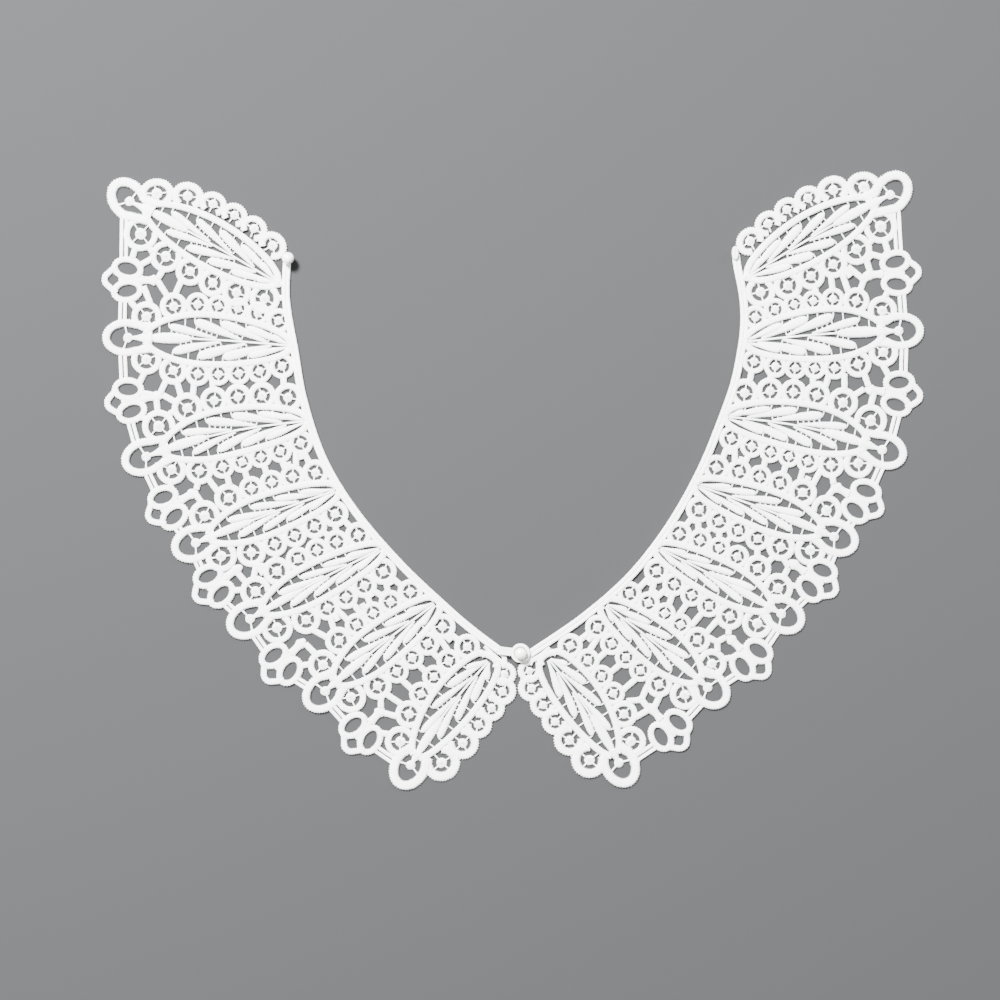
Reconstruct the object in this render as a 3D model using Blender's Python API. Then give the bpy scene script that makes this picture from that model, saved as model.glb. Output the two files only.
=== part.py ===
"""A lace collar lying flat: two lace halves, their neck bands, and the pearl buttons and loops.

Each half is a wall of lace. Seven leaves fan out from the neck band. A row of rings runs down both
sides of every leaf, a loop sits on its tip, and a small fan fills the edge between one tip and the
next. Those shapes set the panel's scalloped outline. The right half is the left one turned over.

Lengths are in millimetres until a mesh is made. +Z is up, the underside lies at z = 0, +Y points to
the back of the neck, and the origin is the middle of the collar's box, on the surface it lies on.
"""

import math
from collections import namedtuple

import bmesh
import bpy
from mathutils import Vector
from mathutils.geometry import tessellate_polygon

MM = 0.001
SEAM = 0.3
PANEL_SEAM = 0.34

# Walls
PANEL_WALL = 1.2
BAND_WIDTH = 3.4
BAND_WALL = 1.5
LOOP_WALL = 1.2

# Where the layout's middle lies, and the line on which the two halves meet at the front
MIDDLE = Vector((-0.22, 0.23))
MEETING_X = 1.45
PIVOT_Y = -78.5
RIGHT_TURN = math.radians(1.0)
RIGHT_DRAWN_IN = (2.6, 0.8, 0.8, 0.8, 0.8, 0.8, 3.2)

# Leaf proportions. A leaf's base lies under the band by BASE_UNDER_BAND, less its own stand_off.
BASE_UNDER_BAND = 0.4
LEAF_POWER = 0.5
LEAF_TIP_FULLNESS = 0.985
LEAF_END = -0.01
TIP_LOOP_SHARE = 0.23
TIP_LOOP_HALF_LONG = 10.0
TIP_LOOP_HALF_WIDE = 7.9

# Ring proportions: a ring's hole is a share of half the pitch to its neighbour, and its cord runs round it.
RING_HOLE_SHARE = 0.67
FREE_BASE_SHARE = 0.84
FREE_LEAF_END = -0.10
ROW_ROOM = 2.2
ROW_STEP = 0.5
SHORTEST_ROW = 0.7
NECK_STEPS = 120
RingShare = namedtuple("RingShare", "along share")
RING_SHARES = (
    RingShare(0.0, 1.24),
    RingShare(0.17, 1.11),
    RingShare(0.36, 0.94),
    RingShare(0.55, 0.89),
    RingShare(0.8, 0.94),
    RingShare(1.0, 1.0),
)

# Fan proportions
FAN_LOBE_APART = 4.7
FAN_LOBE_HALF_LONG = 6.75
FAN_LOBE_HALF_WIDE = 5.05
FAN_LOBE_SPLAY = 0.2
FAN_APEX_OUT = 6.3
FAN_APEX_RADIUS = 4.4
LINK_HALF_WIDTH = 1.8
LINK_OUT = 1.7
LINK_STEPS = 8

# Buttons
PEARL_RADIUS = 2.5
FRONT_PEARL = Vector((2.9, -72.2))
PEARL_SHANK = 0.3
BACK_PEARL = Vector((-94.4, 93.2))
LOOP_HOLE_RADIUS = 2.5
LOOP_OUTER_RADIUS = 4.1
LOOP_TAB_HALF_WIDTH = 1.7
BUTTON_TAB_RADIUS = 2.0
FRONT_SEAT_FROM_END = 3.0
BACK_LOOP_ACROSS_SHARE = 0.36
BACK_LOOP_AIM = 6.0
BACK_LOOP_HALF_LONG = 2.9
BACK_LOOP_HALF_WIDE = 1.35
BACK_LOOP_CORD = 1.0

# Mesh fineness
LEAF_RAYS = 34
END_RAYS = 56
BAND_SECTIONS = 64
ROUND_STEPS = 28
PEARL_SEGMENTS = 24
PEARL_RINGS = 14
SHARED_WITHIN = 0.2

NeckPoint = namedtuple("NeckPoint", "x y")
NECK_EDGE = (
    NeckPoint(-93.4, 94.0),
    NeckPoint(-93.8, 76.0),
    NeckPoint(-90.3, 55.1),
    NeckPoint(-86.5, 34.2),
    NeckPoint(-78.5, 10.2),
    NeckPoint(-65.4, -11.5),
    NeckPoint(-46.5, -33.6),
    NeckPoint(-25.8, -53.2),
    NeckPoint(-14.6, -62.6),
    NeckPoint(-2.6, -71.5),
)

# The right half's neck edge lies a little outside the left one's, by its length from the back.
Ease = namedtuple("Ease", "at out")
RIGHT_EASE = (Ease(0.0, -1.6), Ease(38.0, 3.3), Ease(84.0, 0.1), Ease(148.0, 3.5), Ease(206.0, 0.0))
EASE_STEPS = 240

# neck_at is measured along the neck edge from the back. end_x, end_y is where the tip loop ends.
# base_share is the half width at the base as a share of the fullest, and loop_turn turns the tip loop.
Leaf = namedtuple(
    "Leaf", "neck_at stand_off end_x end_y half_width bow back_rings front_rings base_share widest_at loop_turn"
)
LEAVES = (
    Leaf(10.9, 2.4, -170.7, 122.5, 9.7, 1.0, 6, 6, 0.03, 0.52, -0.42),
    Leaf(37.0, 0.0, -172.8, 60.1, 10.5, 1.2, 7, 7, 0.05, 0.60, 0.0),
    Leaf(69.0, 0.0, -164.4, 6.3, 9.7, 3.4, 6, 7, 0.12, 0.60, 0.0),
    Leaf(100.0, 0.0, -143.4, -30.2, 8.4, 0.8, 6, 6, 0.20, 0.60, 0.0),
    Leaf(130.5, 0.0, -119.9, -63.4, 7.8, 0.9, 6, 6, 0.22, 0.60, 0.0),
    Leaf(162.5, 0.0, -87.2, -95.3, 8.8, 0.9, 6, 6, 0.26, 0.60, 0.0),
    Leaf(194.5, 4.3, -48.6, -128.8, 9.1, 2.2, 6, 6, 0.44, 0.42, 0.0),
)

# A row of rings: where it starts and how far short it stops, its last ring's share, how far its holes
# stand off the leaf's side and how flat they are, how broad its cords are, and how full and how pointed
# a line it follows.
RowKind = namedtuple(
    "RowKind", "first_at stop_short last_share lift squash cord_share narrowest broadest fullness tip_power"
)
BOUND_ROW = RowKind(-0.8, 0.0, 1.0, 1.25, 1.0, 0.52, 1.9, 2.7, 1.0, 0.5)
FREE_BACK_ROW = RowKind(-2.0, 5.0, 1.0, 2.2, 0.76, 0.58, 2.6, 3.2, 1.12, 0.78)
FREE_FRONT_ROW = RowKind(0.8, 0.0, 0.78, 2.15, 0.95, 0.66, 2.6, 3.9, 1.0, 0.5)

# slide moves a fan towards the next leaf, and out moves it away from the neck.
Fan = namedtuple("Fan", "slide out")
FANS = (Fan(4.6, -0.2), Fan(0.9, 2.4), Fan(2.3, 1.6), Fan(-0.4, 3.1), Fan(0.8, 3.5), Fan(-0.8, 2.4))

# The outline's rays turn this far past the first and the last leaf, to reach the free edges.
BACK_SWING = math.radians(-56)
FRONT_SWING = math.radians(84)
SHORTEST_RAY = 1.0

Finish = namedtuple("Finish", "colour roughness")
COTTON = Finish((0.90, 0.90, 0.89), 0.85)
BAND_COTTON = Finish((0.88, 0.88, 0.87), 0.80)
PEARL = Finish((0.93, 0.90, 0.87), 0.18)


def right_of(direction):
    """The direction a quarter turn clockwise from this one."""
    return Vector((direction.y, -direction.x))


def turned(vector, angle):
    """A plane vector turned anticlockwise by an angle in radians."""
    c, s = math.cos(angle), math.sin(angle)
    return Vector((vector.x * c - vector.y * s, vector.x * s + vector.y * c))


class Path:
    """A plane curve that is read by the length along it."""

    def __init__(self, points):
        self.points = points
        self.lengths = [0.0]
        for a, b in zip(points, points[1:]):
            self.lengths.append(self.lengths[-1] + (b - a).length)
        self.length = self.lengths[-1]

    def at(self, s):
        """The point at length s, which may run straight on past either end."""
        last = len(self.points) - 2
        i = next((k for k in range(last + 1) if s <= self.lengths[k + 1]), last)
        share = (s - self.lengths[i]) / (self.lengths[i + 1] - self.lengths[i])
        return self.points[i].lerp(self.points[i + 1], share)

    def heading(self, s, reach=0.3):
        """The direction of travel at length s."""
        return (self.at(s + reach) - self.at(s - reach)).normalized()

    def beside(self, s, distance):
        """The point that far to the right of the curve at length s."""
        return self.at(s) + right_of(self.heading(s)) * distance


def smooth_path(points, steps=16):
    """A Catmull-Rom curve through the points."""
    p = [Vector((q.x, q.y)) for q in points]
    p = [p[0] * 2 - p[1]] + p + [p[-1] * 2 - p[-2]]
    curve = []
    for a, b, c, d in zip(p, p[1:], p[2:], p[3:]):
        for i in range(steps):
            t = i / steps
            square = (a * 2 - b * 5 + c * 4 - d) * t**2
            cube = (b * 3 - a - c * 3 + d) * t**3
            curve.append((b * 2 + (c - a) * t + square + cube) / 2)
    return Path(curve + [p[-2]])


class Oval:
    """A filled ellipse. Its long half-axis lies along one direction."""

    def __init__(self, centre, along, half_long, half_wide):
        self.centre = centre
        self.along = along
        self.across = right_of(along)
        self.half_long = half_long
        self.half_wide = half_wide

    def squashed(self, vector):
        """The vector in the ellipse's own axes, in which the ellipse is the unit circle."""
        return Vector((vector.dot(self.along) / self.half_long, vector.dot(self.across) / self.half_wide))

    def farthest(self, start, direction):
        """How far along a ray its last point inside the ellipse lies, or 0 if it misses."""
        o, d = self.squashed(start - self.centre), self.squashed(direction)
        a, b, c = d.dot(d), o.dot(d), o.dot(o) - 1
        under = b * b - a * c
        return (-b + math.sqrt(under)) / a if under > 0 else 0.0


def disc(centre, radius):
    return Oval(centre, Vector((1, 0)), radius, radius)


def ring_share(along, last):
    """A ring's share of its row, by how far along the row it stands, from 0 to 1."""
    stops = RING_SHARES[:-1] + (RingShare(1.0, last),)
    for a, b in zip(stops, stops[1:]):
        if along <= b.along:
            return a.share + (b.share - a.share) * (along - a.along) / (b.along - a.along)
    return last


class LeafShape:
    """One leaf of a half: its bent axis, its two sides, and what grows on them."""

    def __init__(self, row, neck, drawn_in, free_sides):
        self.row = row
        self.neck = neck
        self.free_sides = free_sides
        self.base = neck.beside(row.neck_at, BAND_WIDTH - BASE_UNDER_BAND + row.stand_off)
        end = Vector((row.end_x + drawn_in, row.end_y))
        self.direction = (end - self.base).normalized()
        self.side = right_of(self.direction)
        self.length = (end - self.base).length
        self.blade = self.length * (1 - TIP_LOOP_SHARE)

    def axis(self, u):
        bend = self.row.bow * math.sin(math.pi * min(max(u / self.length, 0), 1))
        return self.base + self.direction * u + self.side * bend

    def axis_heading(self, u):
        return (self.axis(u + 0.5) - self.axis(u - 0.5)).normalized()

    def half_width(self, t, base_share, tip_power):
        """Half the blade's width, from t = 0 at its base to t = 1 at its tip."""
        if t < self.row.widest_at:
            rise = math.sin(math.pi / 2 * max(t, 0) / self.row.widest_at) ** LEAF_POWER
            return self.row.half_width * (base_share + (1 - base_share) * rise)
        past = (t - self.row.widest_at) / (1 - self.row.widest_at)
        return self.row.half_width * math.cos(math.pi / 2 * past * LEAF_TIP_FULLNESS) ** tip_power

    def row_kind(self, sign):
        """How the row of rings on one side is made: sign 1 is towards the back, -1 towards the front."""
        if sign not in self.free_sides:
            return BOUND_ROW
        return FREE_BACK_ROW if sign > 0 else FREE_FRONT_ROW

    def row_line(self, sign, steps=56):
        """The line that a row of rings follows, from tip to base."""
        kind = self.row_kind(sign)
        base_share, last = self.row.base_share, LEAF_END
        if kind is FREE_FRONT_ROW:
            base_share, last = FREE_BASE_SHARE, FREE_LEAF_END
        points = []
        for i in range(steps):
            t = 1 + (last - 1) * i / (steps - 1)
            u = t * self.blade
            half = kind.fullness * self.half_width(t, base_share, kind.tip_power)
            points.append(self.axis(u) + right_of(self.axis_heading(u)) * sign * half)
        return Path(points)

    def row_stop(self, path, sign):
        """How far down a side its rings can run before they meet the neck band."""
        neck = [self.neck.at(self.neck.length * i / (NECK_STEPS - 1)) for i in range(NECK_STEPS)]
        s = path.length
        while s > path.length * SHORTEST_ROW:
            middle = path.at(s) + right_of(path.heading(s)) * -sign * ROW_ROOM
            if min((point - middle).length for point in neck) > BAND_WIDTH:
                break
            s -= ROW_STEP
        return s

    def rings(self, sign):
        """The rings down one side, each touching the next, largest at the tip."""
        count = self.row.back_rings if sign > 0 else self.row.front_rings
        row, path = self.row_kind(sign), self.row_line(sign)
        shares = [ring_share(i / (count - 1), row.last_share) for i in range(count)]
        pitch = (self.row_stop(path, sign) - row.stop_short - row.first_at) / (2 * sum(shares))
        s, rings = row.first_at, []
        for share in shares:
            radius = share * pitch
            s += radius
            outward = right_of(path.heading(s)) * -sign
            hole = RING_HOLE_SHARE * radius
            cord = min(max(row.cord_share * radius, row.narrowest), row.broadest)
            half_out = hole * row.squash + cord
            centre = path.at(s) + outward * (row.lift + hole * row.squash)
            centre.x = min(centre.x, MEETING_X - SEAM - half_out)
            rings.append(Oval(centre, right_of(outward), hole + cord, half_out))
            s += radius
        return rings

    def tip_loop(self):
        u = self.length - TIP_LOOP_HALF_LONG
        heading = turned(self.axis_heading(u), self.row.loop_turn)
        return Oval(self.axis(u), heading, TIP_LOOP_HALF_LONG, TIP_LOOP_HALF_WIDE)


def fan_ovals(row, loop, next_loop):
    """The two lobes and the apex of a fan, and the links from its lobes to the tip loops beside it."""
    along = (next_loop.centre - loop.centre).normalized()
    out = right_of(along)
    middle = (loop.centre + next_loop.centre) / 2 + along * row.slide + out * row.out
    ovals = [disc(middle + out * FAN_APEX_OUT, FAN_APEX_RADIUS)]
    for sign, tip in ((-1, loop), (1, next_loop)):
        lobe = middle + along * sign * FAN_LOBE_APART
        axis = turned(out, sign * FAN_LOBE_SPLAY)
        ovals.append(Oval(lobe, axis, FAN_LOBE_HALF_LONG, FAN_LOBE_HALF_WIDE))
        for i in range(1, LINK_STEPS):
            ovals.append(disc(lobe.lerp(tip.centre, i / LINK_STEPS) + out * LINK_OUT, LINK_HALF_WIDTH))
    return ovals


def eased(s):
    """How far the right half's neck edge lies outside the left one's, at length s."""
    for a, b in zip(RIGHT_EASE, RIGHT_EASE[1:]):
        if s <= b.at:
            share = (1 - math.cos(math.pi * max(s - a.at, 0) / (b.at - a.at))) / 2
            return a.out + (b.out - a.out) * share
    return RIGHT_EASE[-1].out


class Half:
    """One half of the collar. It is laid out as a left half, and settle() puts it in its place."""

    def __init__(self, side):
        self.side = side
        self.neck = smooth_path(NECK_EDGE)
        if side == "right":
            stops = [self.neck.length * i / EASE_STEPS for i in range(EASE_STEPS + 1)]
            self.neck = Path([self.neck.beside(s, eased(s)) for s in stops])
        drawn_in = RIGHT_DRAWN_IN if side == "right" else (0.0,) * len(LEAVES)
        free_sides = [()] * len(LEAVES)
        free_sides[0], free_sides[-1] = (1,), (-1,)
        self.leaves = [LeafShape(row, self.neck, near, free) for row, near, free in zip(LEAVES, drawn_in, free_sides)]
        self.loops = [leaf.tip_loop() for leaf in self.leaves]
        self.ovals = list(self.loops)
        for leaf in self.leaves:
            self.ovals += leaf.rings(1) + leaf.rings(-1)
        for row, loop, next_loop in zip(FANS, self.loops, self.loops[1:]):
            self.ovals += fan_ovals(row, loop, next_loop)

    def settle(self, point):
        """A point of the layout, where it lies on the left, or turned over on the right."""
        if self.side == "left":
            return point - MIDDLE
        pivot = Vector((MEETING_X, PIVOT_Y))
        across = Vector((2 * MEETING_X - point.x, point.y))
        return pivot + turned(across - pivot, RIGHT_TURN) - MIDDLE

    def ray(self, start, direction):
        """The ends of one ray of the panel, from the seam at the band to the lace's outer edge."""
        reach = max([oval.farthest(start, direction) for oval in self.ovals] + [SHORTEST_RAY])
        return start, start + direction * reach

    def rays(self):
        """The panel's rays, from the back end of the neck to the front end."""
        offset = BAND_WIDTH + PANEL_SEAM
        first, last = LEAVES[0].neck_at, LEAVES[-1].neck_at
        starts = [self.neck.beside(row.neck_at, offset) for row in LEAVES]
        aims = [(loop.centre - start).normalized() for loop, start in zip(self.loops, starts)]
        rays = []
        for i in range(END_RAYS):
            share = i / END_RAYS
            start = self.neck.beside(first * share, offset)
            rays.append(self.ray(start, turned(aims[0], BACK_SWING * (1 - share))))
        for k, (row, next_row) in enumerate(zip(LEAVES, LEAVES[1:])):
            for i in range(LEAF_RAYS):
                share = i / LEAF_RAYS
                start = self.neck.beside(row.neck_at + (next_row.neck_at - row.neck_at) * share, offset)
                target = self.loops[k].centre.lerp(self.loops[k + 1].centre, share)
                rays.append(self.ray(start, (target - start).normalized()))
        for i in range(END_RAYS + 1):
            share = i / END_RAYS
            start = self.neck.beside(last + (self.neck.length - last) * share, offset)
            rays.append(self.ray(start, turned(aims[-1], FRONT_SWING * share)))
        return rays

    def band_sections(self):
        """The two edges of the neck band, at points along the neck."""
        sections = []
        for i in range(BAND_SECTIONS + 1):
            s = self.neck.length * i / BAND_SECTIONS
            sections.append((self.neck.at(s), self.neck.beside(s, BAND_WIDTH)))
        return sections


def lift(point, z):
    return Vector((point.x * MM, point.y * MM, z * MM))


def new_object(name, mesh, finish):
    """An object with a material of its own, shaded smooth away from its sharp edges."""
    material = bpy.data.materials.new(name)
    material.use_nodes = True
    shader = material.node_tree.nodes["Principled BSDF"]
    shader.inputs["Base Color"].default_value = (*finish.colour, 1.0)
    shader.inputs["Roughness"].default_value = finish.roughness
    shader.inputs["Metallic"].default_value = 0.0
    mesh.materials.append(material)
    mesh.shade_smooth()
    mesh.set_sharp_from_angle(angle=math.radians(40))
    obj = bpy.data.objects.new(name, mesh)
    bpy.context.scene.collection.objects.link(obj)
    return obj


def strip_mesh(name, sections, low, high):
    """A closed flat wall between two edges, given as pairs of points along its length.

    Where an edge hardly moves from one section to the next, both sections share its corners.
    """
    bm = bmesh.new()
    rows = []
    kept = [None, None]
    for section in sections:
        row = [None] * 4
        for edge, (bottom, top) in enumerate(((0, 3), (1, 2))):
            if kept[edge] is not None and (section[edge] - kept[edge]).length < SHARED_WITHIN:
                row[bottom], row[top] = rows[-1][bottom], rows[-1][top]
            else:
                kept[edge] = section[edge]
                row[bottom] = bm.verts.new(lift(section[edge], low))
                row[top] = bm.verts.new(lift(section[edge], high))
        rows.append(row)
    for a, b in zip(rows, rows[1:]):
        for i in range(4):
            j = (i + 1) % 4
            corners = list(dict.fromkeys((a[i], a[j], b[j], b[i])))
            if len(corners) > 2:
                bm.faces.new(corners)
    bm.faces.new(rows[0])
    bm.faces.new(reversed(rows[-1]))
    return finished_mesh(bm, name)


def plate_mesh(name, outline, hole, low, high):
    """A closed flat plate with one hole. Both loops of points run anticlockwise."""
    bm = bmesh.new()
    loops = [outline, hole]
    levels = [[[bm.verts.new(lift(p, z)) for p in loop] for loop in loops] for z in (low, high)]
    triangles = tessellate_polygon([[Vector((p.x, p.y, 0)) for p in loop] for loop in loops])
    for level in levels:
        verts = level[0] + level[1]
        for triangle in triangles:
            bm.faces.new([verts[i] for i in triangle])
    for bottom, top in zip(*levels):
        for i in range(len(bottom)):
            j = (i + 1) % len(bottom)
            bm.faces.new((bottom[i], bottom[j], top[j], top[i]))
    return finished_mesh(bm, name)


def finished_mesh(bm, name):
    bmesh.ops.recalc_face_normals(bm, faces=bm.faces)
    mesh = bpy.data.meshes.new(name)
    bm.to_mesh(mesh)
    bm.free()
    return mesh


def arc(centre, radius, start, end, steps):
    """Points on an arc from one angle to another, ends included."""
    angles = [start + (end - start) * i / steps for i in range(steps + 1)]
    return [centre + Vector((math.cos(a), math.sin(a))) * radius for a in angles]


def oval_points(centre, along, half_long, half_wide, steps=ROUND_STEPS):
    """Points round an ellipse, anticlockwise."""
    across = right_of(along) * -1
    angles = [2 * math.pi * i / steps for i in range(steps)]
    return [centre + along * half_long * math.cos(a) + across * half_wide * math.sin(a) for a in angles]


def make_panel(half):
    sections = [(half.settle(inner), half.settle(outer)) for inner, outer in half.rays()]
    name = f"lace_{half.side}"
    return new_object(name, strip_mesh(name, sections, 0.0, PANEL_WALL), COTTON)


def make_band(half):
    """The neck band. The right one runs on into a round-ended tab under the front pearl."""
    sections = [(half.settle(inner), half.settle(outer)) for inner, outer in half.band_sections()]
    if half.side == "right":
        inner, outer = sections[-1]
        centre = FRONT_PEARL - MIDDLE
        facing = (centre - (inner + outer) / 2).normalized()
        across = right_of(facing)
        if across.dot(inner - outer) < 0:
            across = across * -1
        steps = ROUND_STEPS // 4
        for i in range(steps):
            angle = math.pi / 2 * i / steps
            middle = centre + facing * BUTTON_TAB_RADIUS * math.sin(angle)
            reach = across * BUTTON_TAB_RADIUS * math.cos(angle)
            sections.append((middle + reach, middle - reach))
    name = f"neck_band_{half.side}"
    return new_object(name, strip_mesh(name, sections, 0.0, BAND_WALL), BAND_COTTON)


def make_front_loop(left):
    """The loop round the front pearl, with its tab laid on the left band's end."""
    centre = FRONT_PEARL - MIDDLE
    seat = left.settle(left.neck.beside(left.neck.length - FRONT_SEAT_FROM_END, BAND_WIDTH / 2))
    towards = (seat - centre).normalized()
    tab_angle = math.atan2(towards.y, towards.x)
    spread = math.asin(LOOP_TAB_HALF_WIDTH / LOOP_OUTER_RADIUS)
    first, last = tab_angle + spread, tab_angle + 2 * math.pi - spread
    outline = arc(centre, LOOP_OUTER_RADIUS, first, last, ROUND_STEPS)
    first, last = tab_angle - math.pi / 2, tab_angle + math.pi / 2
    outline += arc(seat, LOOP_TAB_HALF_WIDTH, first, last, ROUND_STEPS // 2)
    hole = oval_points(centre, Vector((1, 0)), LOOP_HOLE_RADIUS, LOOP_HOLE_RADIUS)
    low = BAND_WALL + SEAM
    name = "button_loop_front"
    return new_object(name, plate_mesh(name, outline, hole, low, low + LOOP_WALL), COTTON)


def make_back_loop(right):
    """The small pinched loop laid on the right band's back end."""
    across = BAND_WIDTH * BACK_LOOP_ACROSS_SHARE
    end = right.settle(right.neck.beside(0.0, across))
    inside = right.settle(right.neck.beside(BACK_LOOP_AIM, across))
    along = (end - inside).normalized()
    long, wide = BACK_LOOP_HALF_LONG, BACK_LOOP_HALF_WIDE
    outline = oval_points(end, along, long, wide)
    hole = oval_points(end, along, long - BACK_LOOP_CORD, wide - BACK_LOOP_CORD)
    low = BAND_WALL + SEAM
    name = "button_loop_back"
    return new_object(name, plate_mesh(name, outline, hole, low, low + LOOP_WALL), COTTON)


def make_pearl(name, place):
    """A round pearl that stands a seam's gap above the band it is sewn to."""
    bm = bmesh.new()
    radius = PEARL_RADIUS * MM
    bmesh.ops.create_uvsphere(bm, u_segments=PEARL_SEGMENTS, v_segments=PEARL_RINGS, radius=radius)
    pearl = new_object(name, finished_mesh(bm, name), PEARL)
    pearl.location = lift(place - MIDDLE, BAND_WALL + PEARL_SHANK + PEARL_RADIUS)
    return pearl


def clear_scene():
    for obj in list(bpy.data.objects):
        bpy.data.objects.remove(obj)


def main():
    clear_scene()
    left, right = Half("left"), Half("right")
    for half in (left, right):
        make_panel(half)
        make_band(half)
    make_front_loop(left)
    make_back_loop(right)
    make_pearl("pearl_front", FRONT_PEARL)
    make_pearl("pearl_back", BACK_PEARL)


main()
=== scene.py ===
import logging
import math
from collections.abc import Callable, Sequence
from dataclasses import dataclass, field
from enum import Enum

import bpy
import numpy as np
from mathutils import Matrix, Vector, geometry


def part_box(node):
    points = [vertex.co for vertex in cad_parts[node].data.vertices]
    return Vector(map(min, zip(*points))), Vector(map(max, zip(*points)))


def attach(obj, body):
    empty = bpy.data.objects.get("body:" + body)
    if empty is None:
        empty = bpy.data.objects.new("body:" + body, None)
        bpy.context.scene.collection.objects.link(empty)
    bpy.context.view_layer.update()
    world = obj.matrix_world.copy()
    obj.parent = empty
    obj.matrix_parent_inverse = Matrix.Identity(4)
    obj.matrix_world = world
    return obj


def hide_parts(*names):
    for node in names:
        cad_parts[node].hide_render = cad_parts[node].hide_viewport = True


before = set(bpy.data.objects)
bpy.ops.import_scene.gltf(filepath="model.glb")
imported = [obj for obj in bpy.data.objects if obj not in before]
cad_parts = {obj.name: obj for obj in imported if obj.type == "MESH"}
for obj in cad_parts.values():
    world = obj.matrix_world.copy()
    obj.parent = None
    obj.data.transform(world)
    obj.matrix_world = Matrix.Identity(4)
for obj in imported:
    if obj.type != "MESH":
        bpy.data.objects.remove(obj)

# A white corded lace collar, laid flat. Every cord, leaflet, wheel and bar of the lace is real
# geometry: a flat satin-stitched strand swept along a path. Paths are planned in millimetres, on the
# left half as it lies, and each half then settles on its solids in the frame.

MM = 0.001
OVAL_STEPS = 48
BODY = "root"
LOG = logging.getLogger("lace_collar")

Array = np.ndarray
Colour = tuple[float, float, float]
Settle = Callable[[Array], tuple[Array, bool]]


# ---------------------------------------------------------------- plane geometry


def quarter_turn_right(directions: Array) -> Array:
    """Turn plane directions a quarter turn clockwise."""
    return np.stack([directions[..., 1], -directions[..., 0]], axis=-1)


def turned(vectors: Array, angle: float) -> Array:
    """Turn plane vectors anticlockwise.

    Args:
        vectors: the vectors, one in each row.
        angle: the angle in radians.

    Returns:
        The turned vectors.
    """
    c, s = math.cos(angle), math.sin(angle)
    x, y = vectors[..., 0], vectors[..., 1]
    return np.stack([x * c - y * s, x * s + y * c], axis=-1)


def unit(vector: Array) -> Array:
    """Scale a plane vector to length one."""
    return vector / np.linalg.norm(vector)


class Path:
    """A plane curve that is read by the length along it."""

    def __init__(self, points: Array, closed: bool = False) -> None:
        """Measure the curve.

        Args:
            points: its points in millimetres, one in each row.
            closed: whether it runs back to its first point.
        """
        points = np.asarray(points, dtype=float)
        self.closed = closed
        self.points = np.vstack([points, points[:1]]) if closed else points
        steps = np.linalg.norm(np.diff(self.points, axis=0), axis=1)
        self.lengths = np.concatenate([[0.0], np.cumsum(steps)])
        self.length = float(self.lengths[-1])

    def at(self, s: Array | float) -> Array:
        """Read the point or points at length s."""
        return np.stack([np.interp(s, self.lengths, self.points[:, k]) for k in range(2)], axis=-1)

    def heading(self, s: float, reach: float = 0.3) -> Array:
        """Read the direction of travel at length s."""
        return unit(self.at(min(s + reach, self.length)) - self.at(max(s - reach, 0.0)))

    def beside(self, s: float, distance: float) -> Array:
        """Read the point that far to the right of the curve at length s."""
        return self.at(s) + quarter_turn_right(self.heading(s)) * distance

    def stepped(self, step: float) -> tuple[Array, Array, Array]:
        """Walk the curve in even steps, an even number of them.

        Args:
            step: the wanted step in millimetres.

        Returns:
            The points, the unit tangents at them, and their lengths along the curve.
        """
        count = max(2 * round(self.length / step / 2), 4)
        s = np.linspace(0.0, self.length, count + 1)
        points = self.at(s)
        if self.closed:
            points, s = points[:-1], s[:-1]
            ahead, behind = np.roll(points, -1, axis=0), np.roll(points, 1, axis=0)
        else:
            ahead = np.vstack([points[1:], 2 * points[-1] - points[-2]])
            behind = np.vstack([2 * points[0] - points[1], points[:-1]])
        tangents = ahead - behind
        return points, tangents / np.linalg.norm(tangents, axis=1, keepdims=True), s


def smooth_path(points: Array, steps: int = 16) -> Path:
    """Run a Catmull-Rom curve through a few points.

    Args:
        points: the points in millimetres, one in each row.
        steps: how many stretches lie between one point and the next.

    Returns:
        The curve.
    """
    p = np.vstack([2 * points[0] - points[1], points, 2 * points[-1] - points[-2]])
    t = np.linspace(0, 1, steps, endpoint=False)[:, None]
    curve = []
    for a, b, c, d in zip(p, p[1:], p[2:], p[3:]):
        square = (2 * a - 5 * b + 4 * c - d) * t**2
        cube = (3 * b - a - 3 * c + d) * t**3
        curve.append((2 * b + (c - a) * t + square + cube) / 2)
    return Path(np.vstack(curve + [points[-1:]]))


def oval_path(centre: Array, along: Array, half_long: float, half_wide: float) -> Path:
    """Run a closed path round an ellipse, anticlockwise.

    Args:
        centre: its centre.
        along: the direction of its long half-axis.
        half_long: that half-axis.
        half_wide: the other half-axis.

    Returns:
        The closed path.
    """
    angle = np.linspace(0, 2 * math.pi, OVAL_STEPS, endpoint=False)[:, None]
    across = -quarter_turn_right(along)
    points = centre + along * half_long * np.cos(angle) + across * half_wide * np.sin(angle)
    return Path(points, closed=True)


# ---------------------------------------------------------------- stitched strands


def mirrored(*left: tuple[float, float], crown: float) -> tuple[tuple[float, float], ...]:
    """Mirror the left side of a cross-section about its crown, and close it at the middle below."""
    right = [(-across, up) for across, up in reversed(left)]
    return (*left, (0.0, crown), *right, (0.0, 0.0))


class Section(Enum):
    """Cross-sections of a strand: (across, up) points, in half widths and heights."""

    CORD = mirrored((-1.0, 0.22), (-0.82, 0.70), (-0.44, 1.0), crown=0.80)
    BLADE = mirrored((-1.0, 0.22), (-0.88, 0.70), (-0.45, 0.96), crown=1.0)
    THREAD = ((-1.0, 0.35), (-0.5, 0.95), (0.5, 0.95), (1.0, 0.35), (0.5, 0.0), (-0.5, 0.0))


# A knot's sides, where its underside lies, and its profile: shares of its radius and its height.
KNOT_SIDES = 14
KNOT_LOW = 0.05
KNOT_TIERS = ((1.0, 0.0), (1.06, 0.32), (0.92, 0.66), (0.62, 0.92), (0.26, 1.0))


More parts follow.
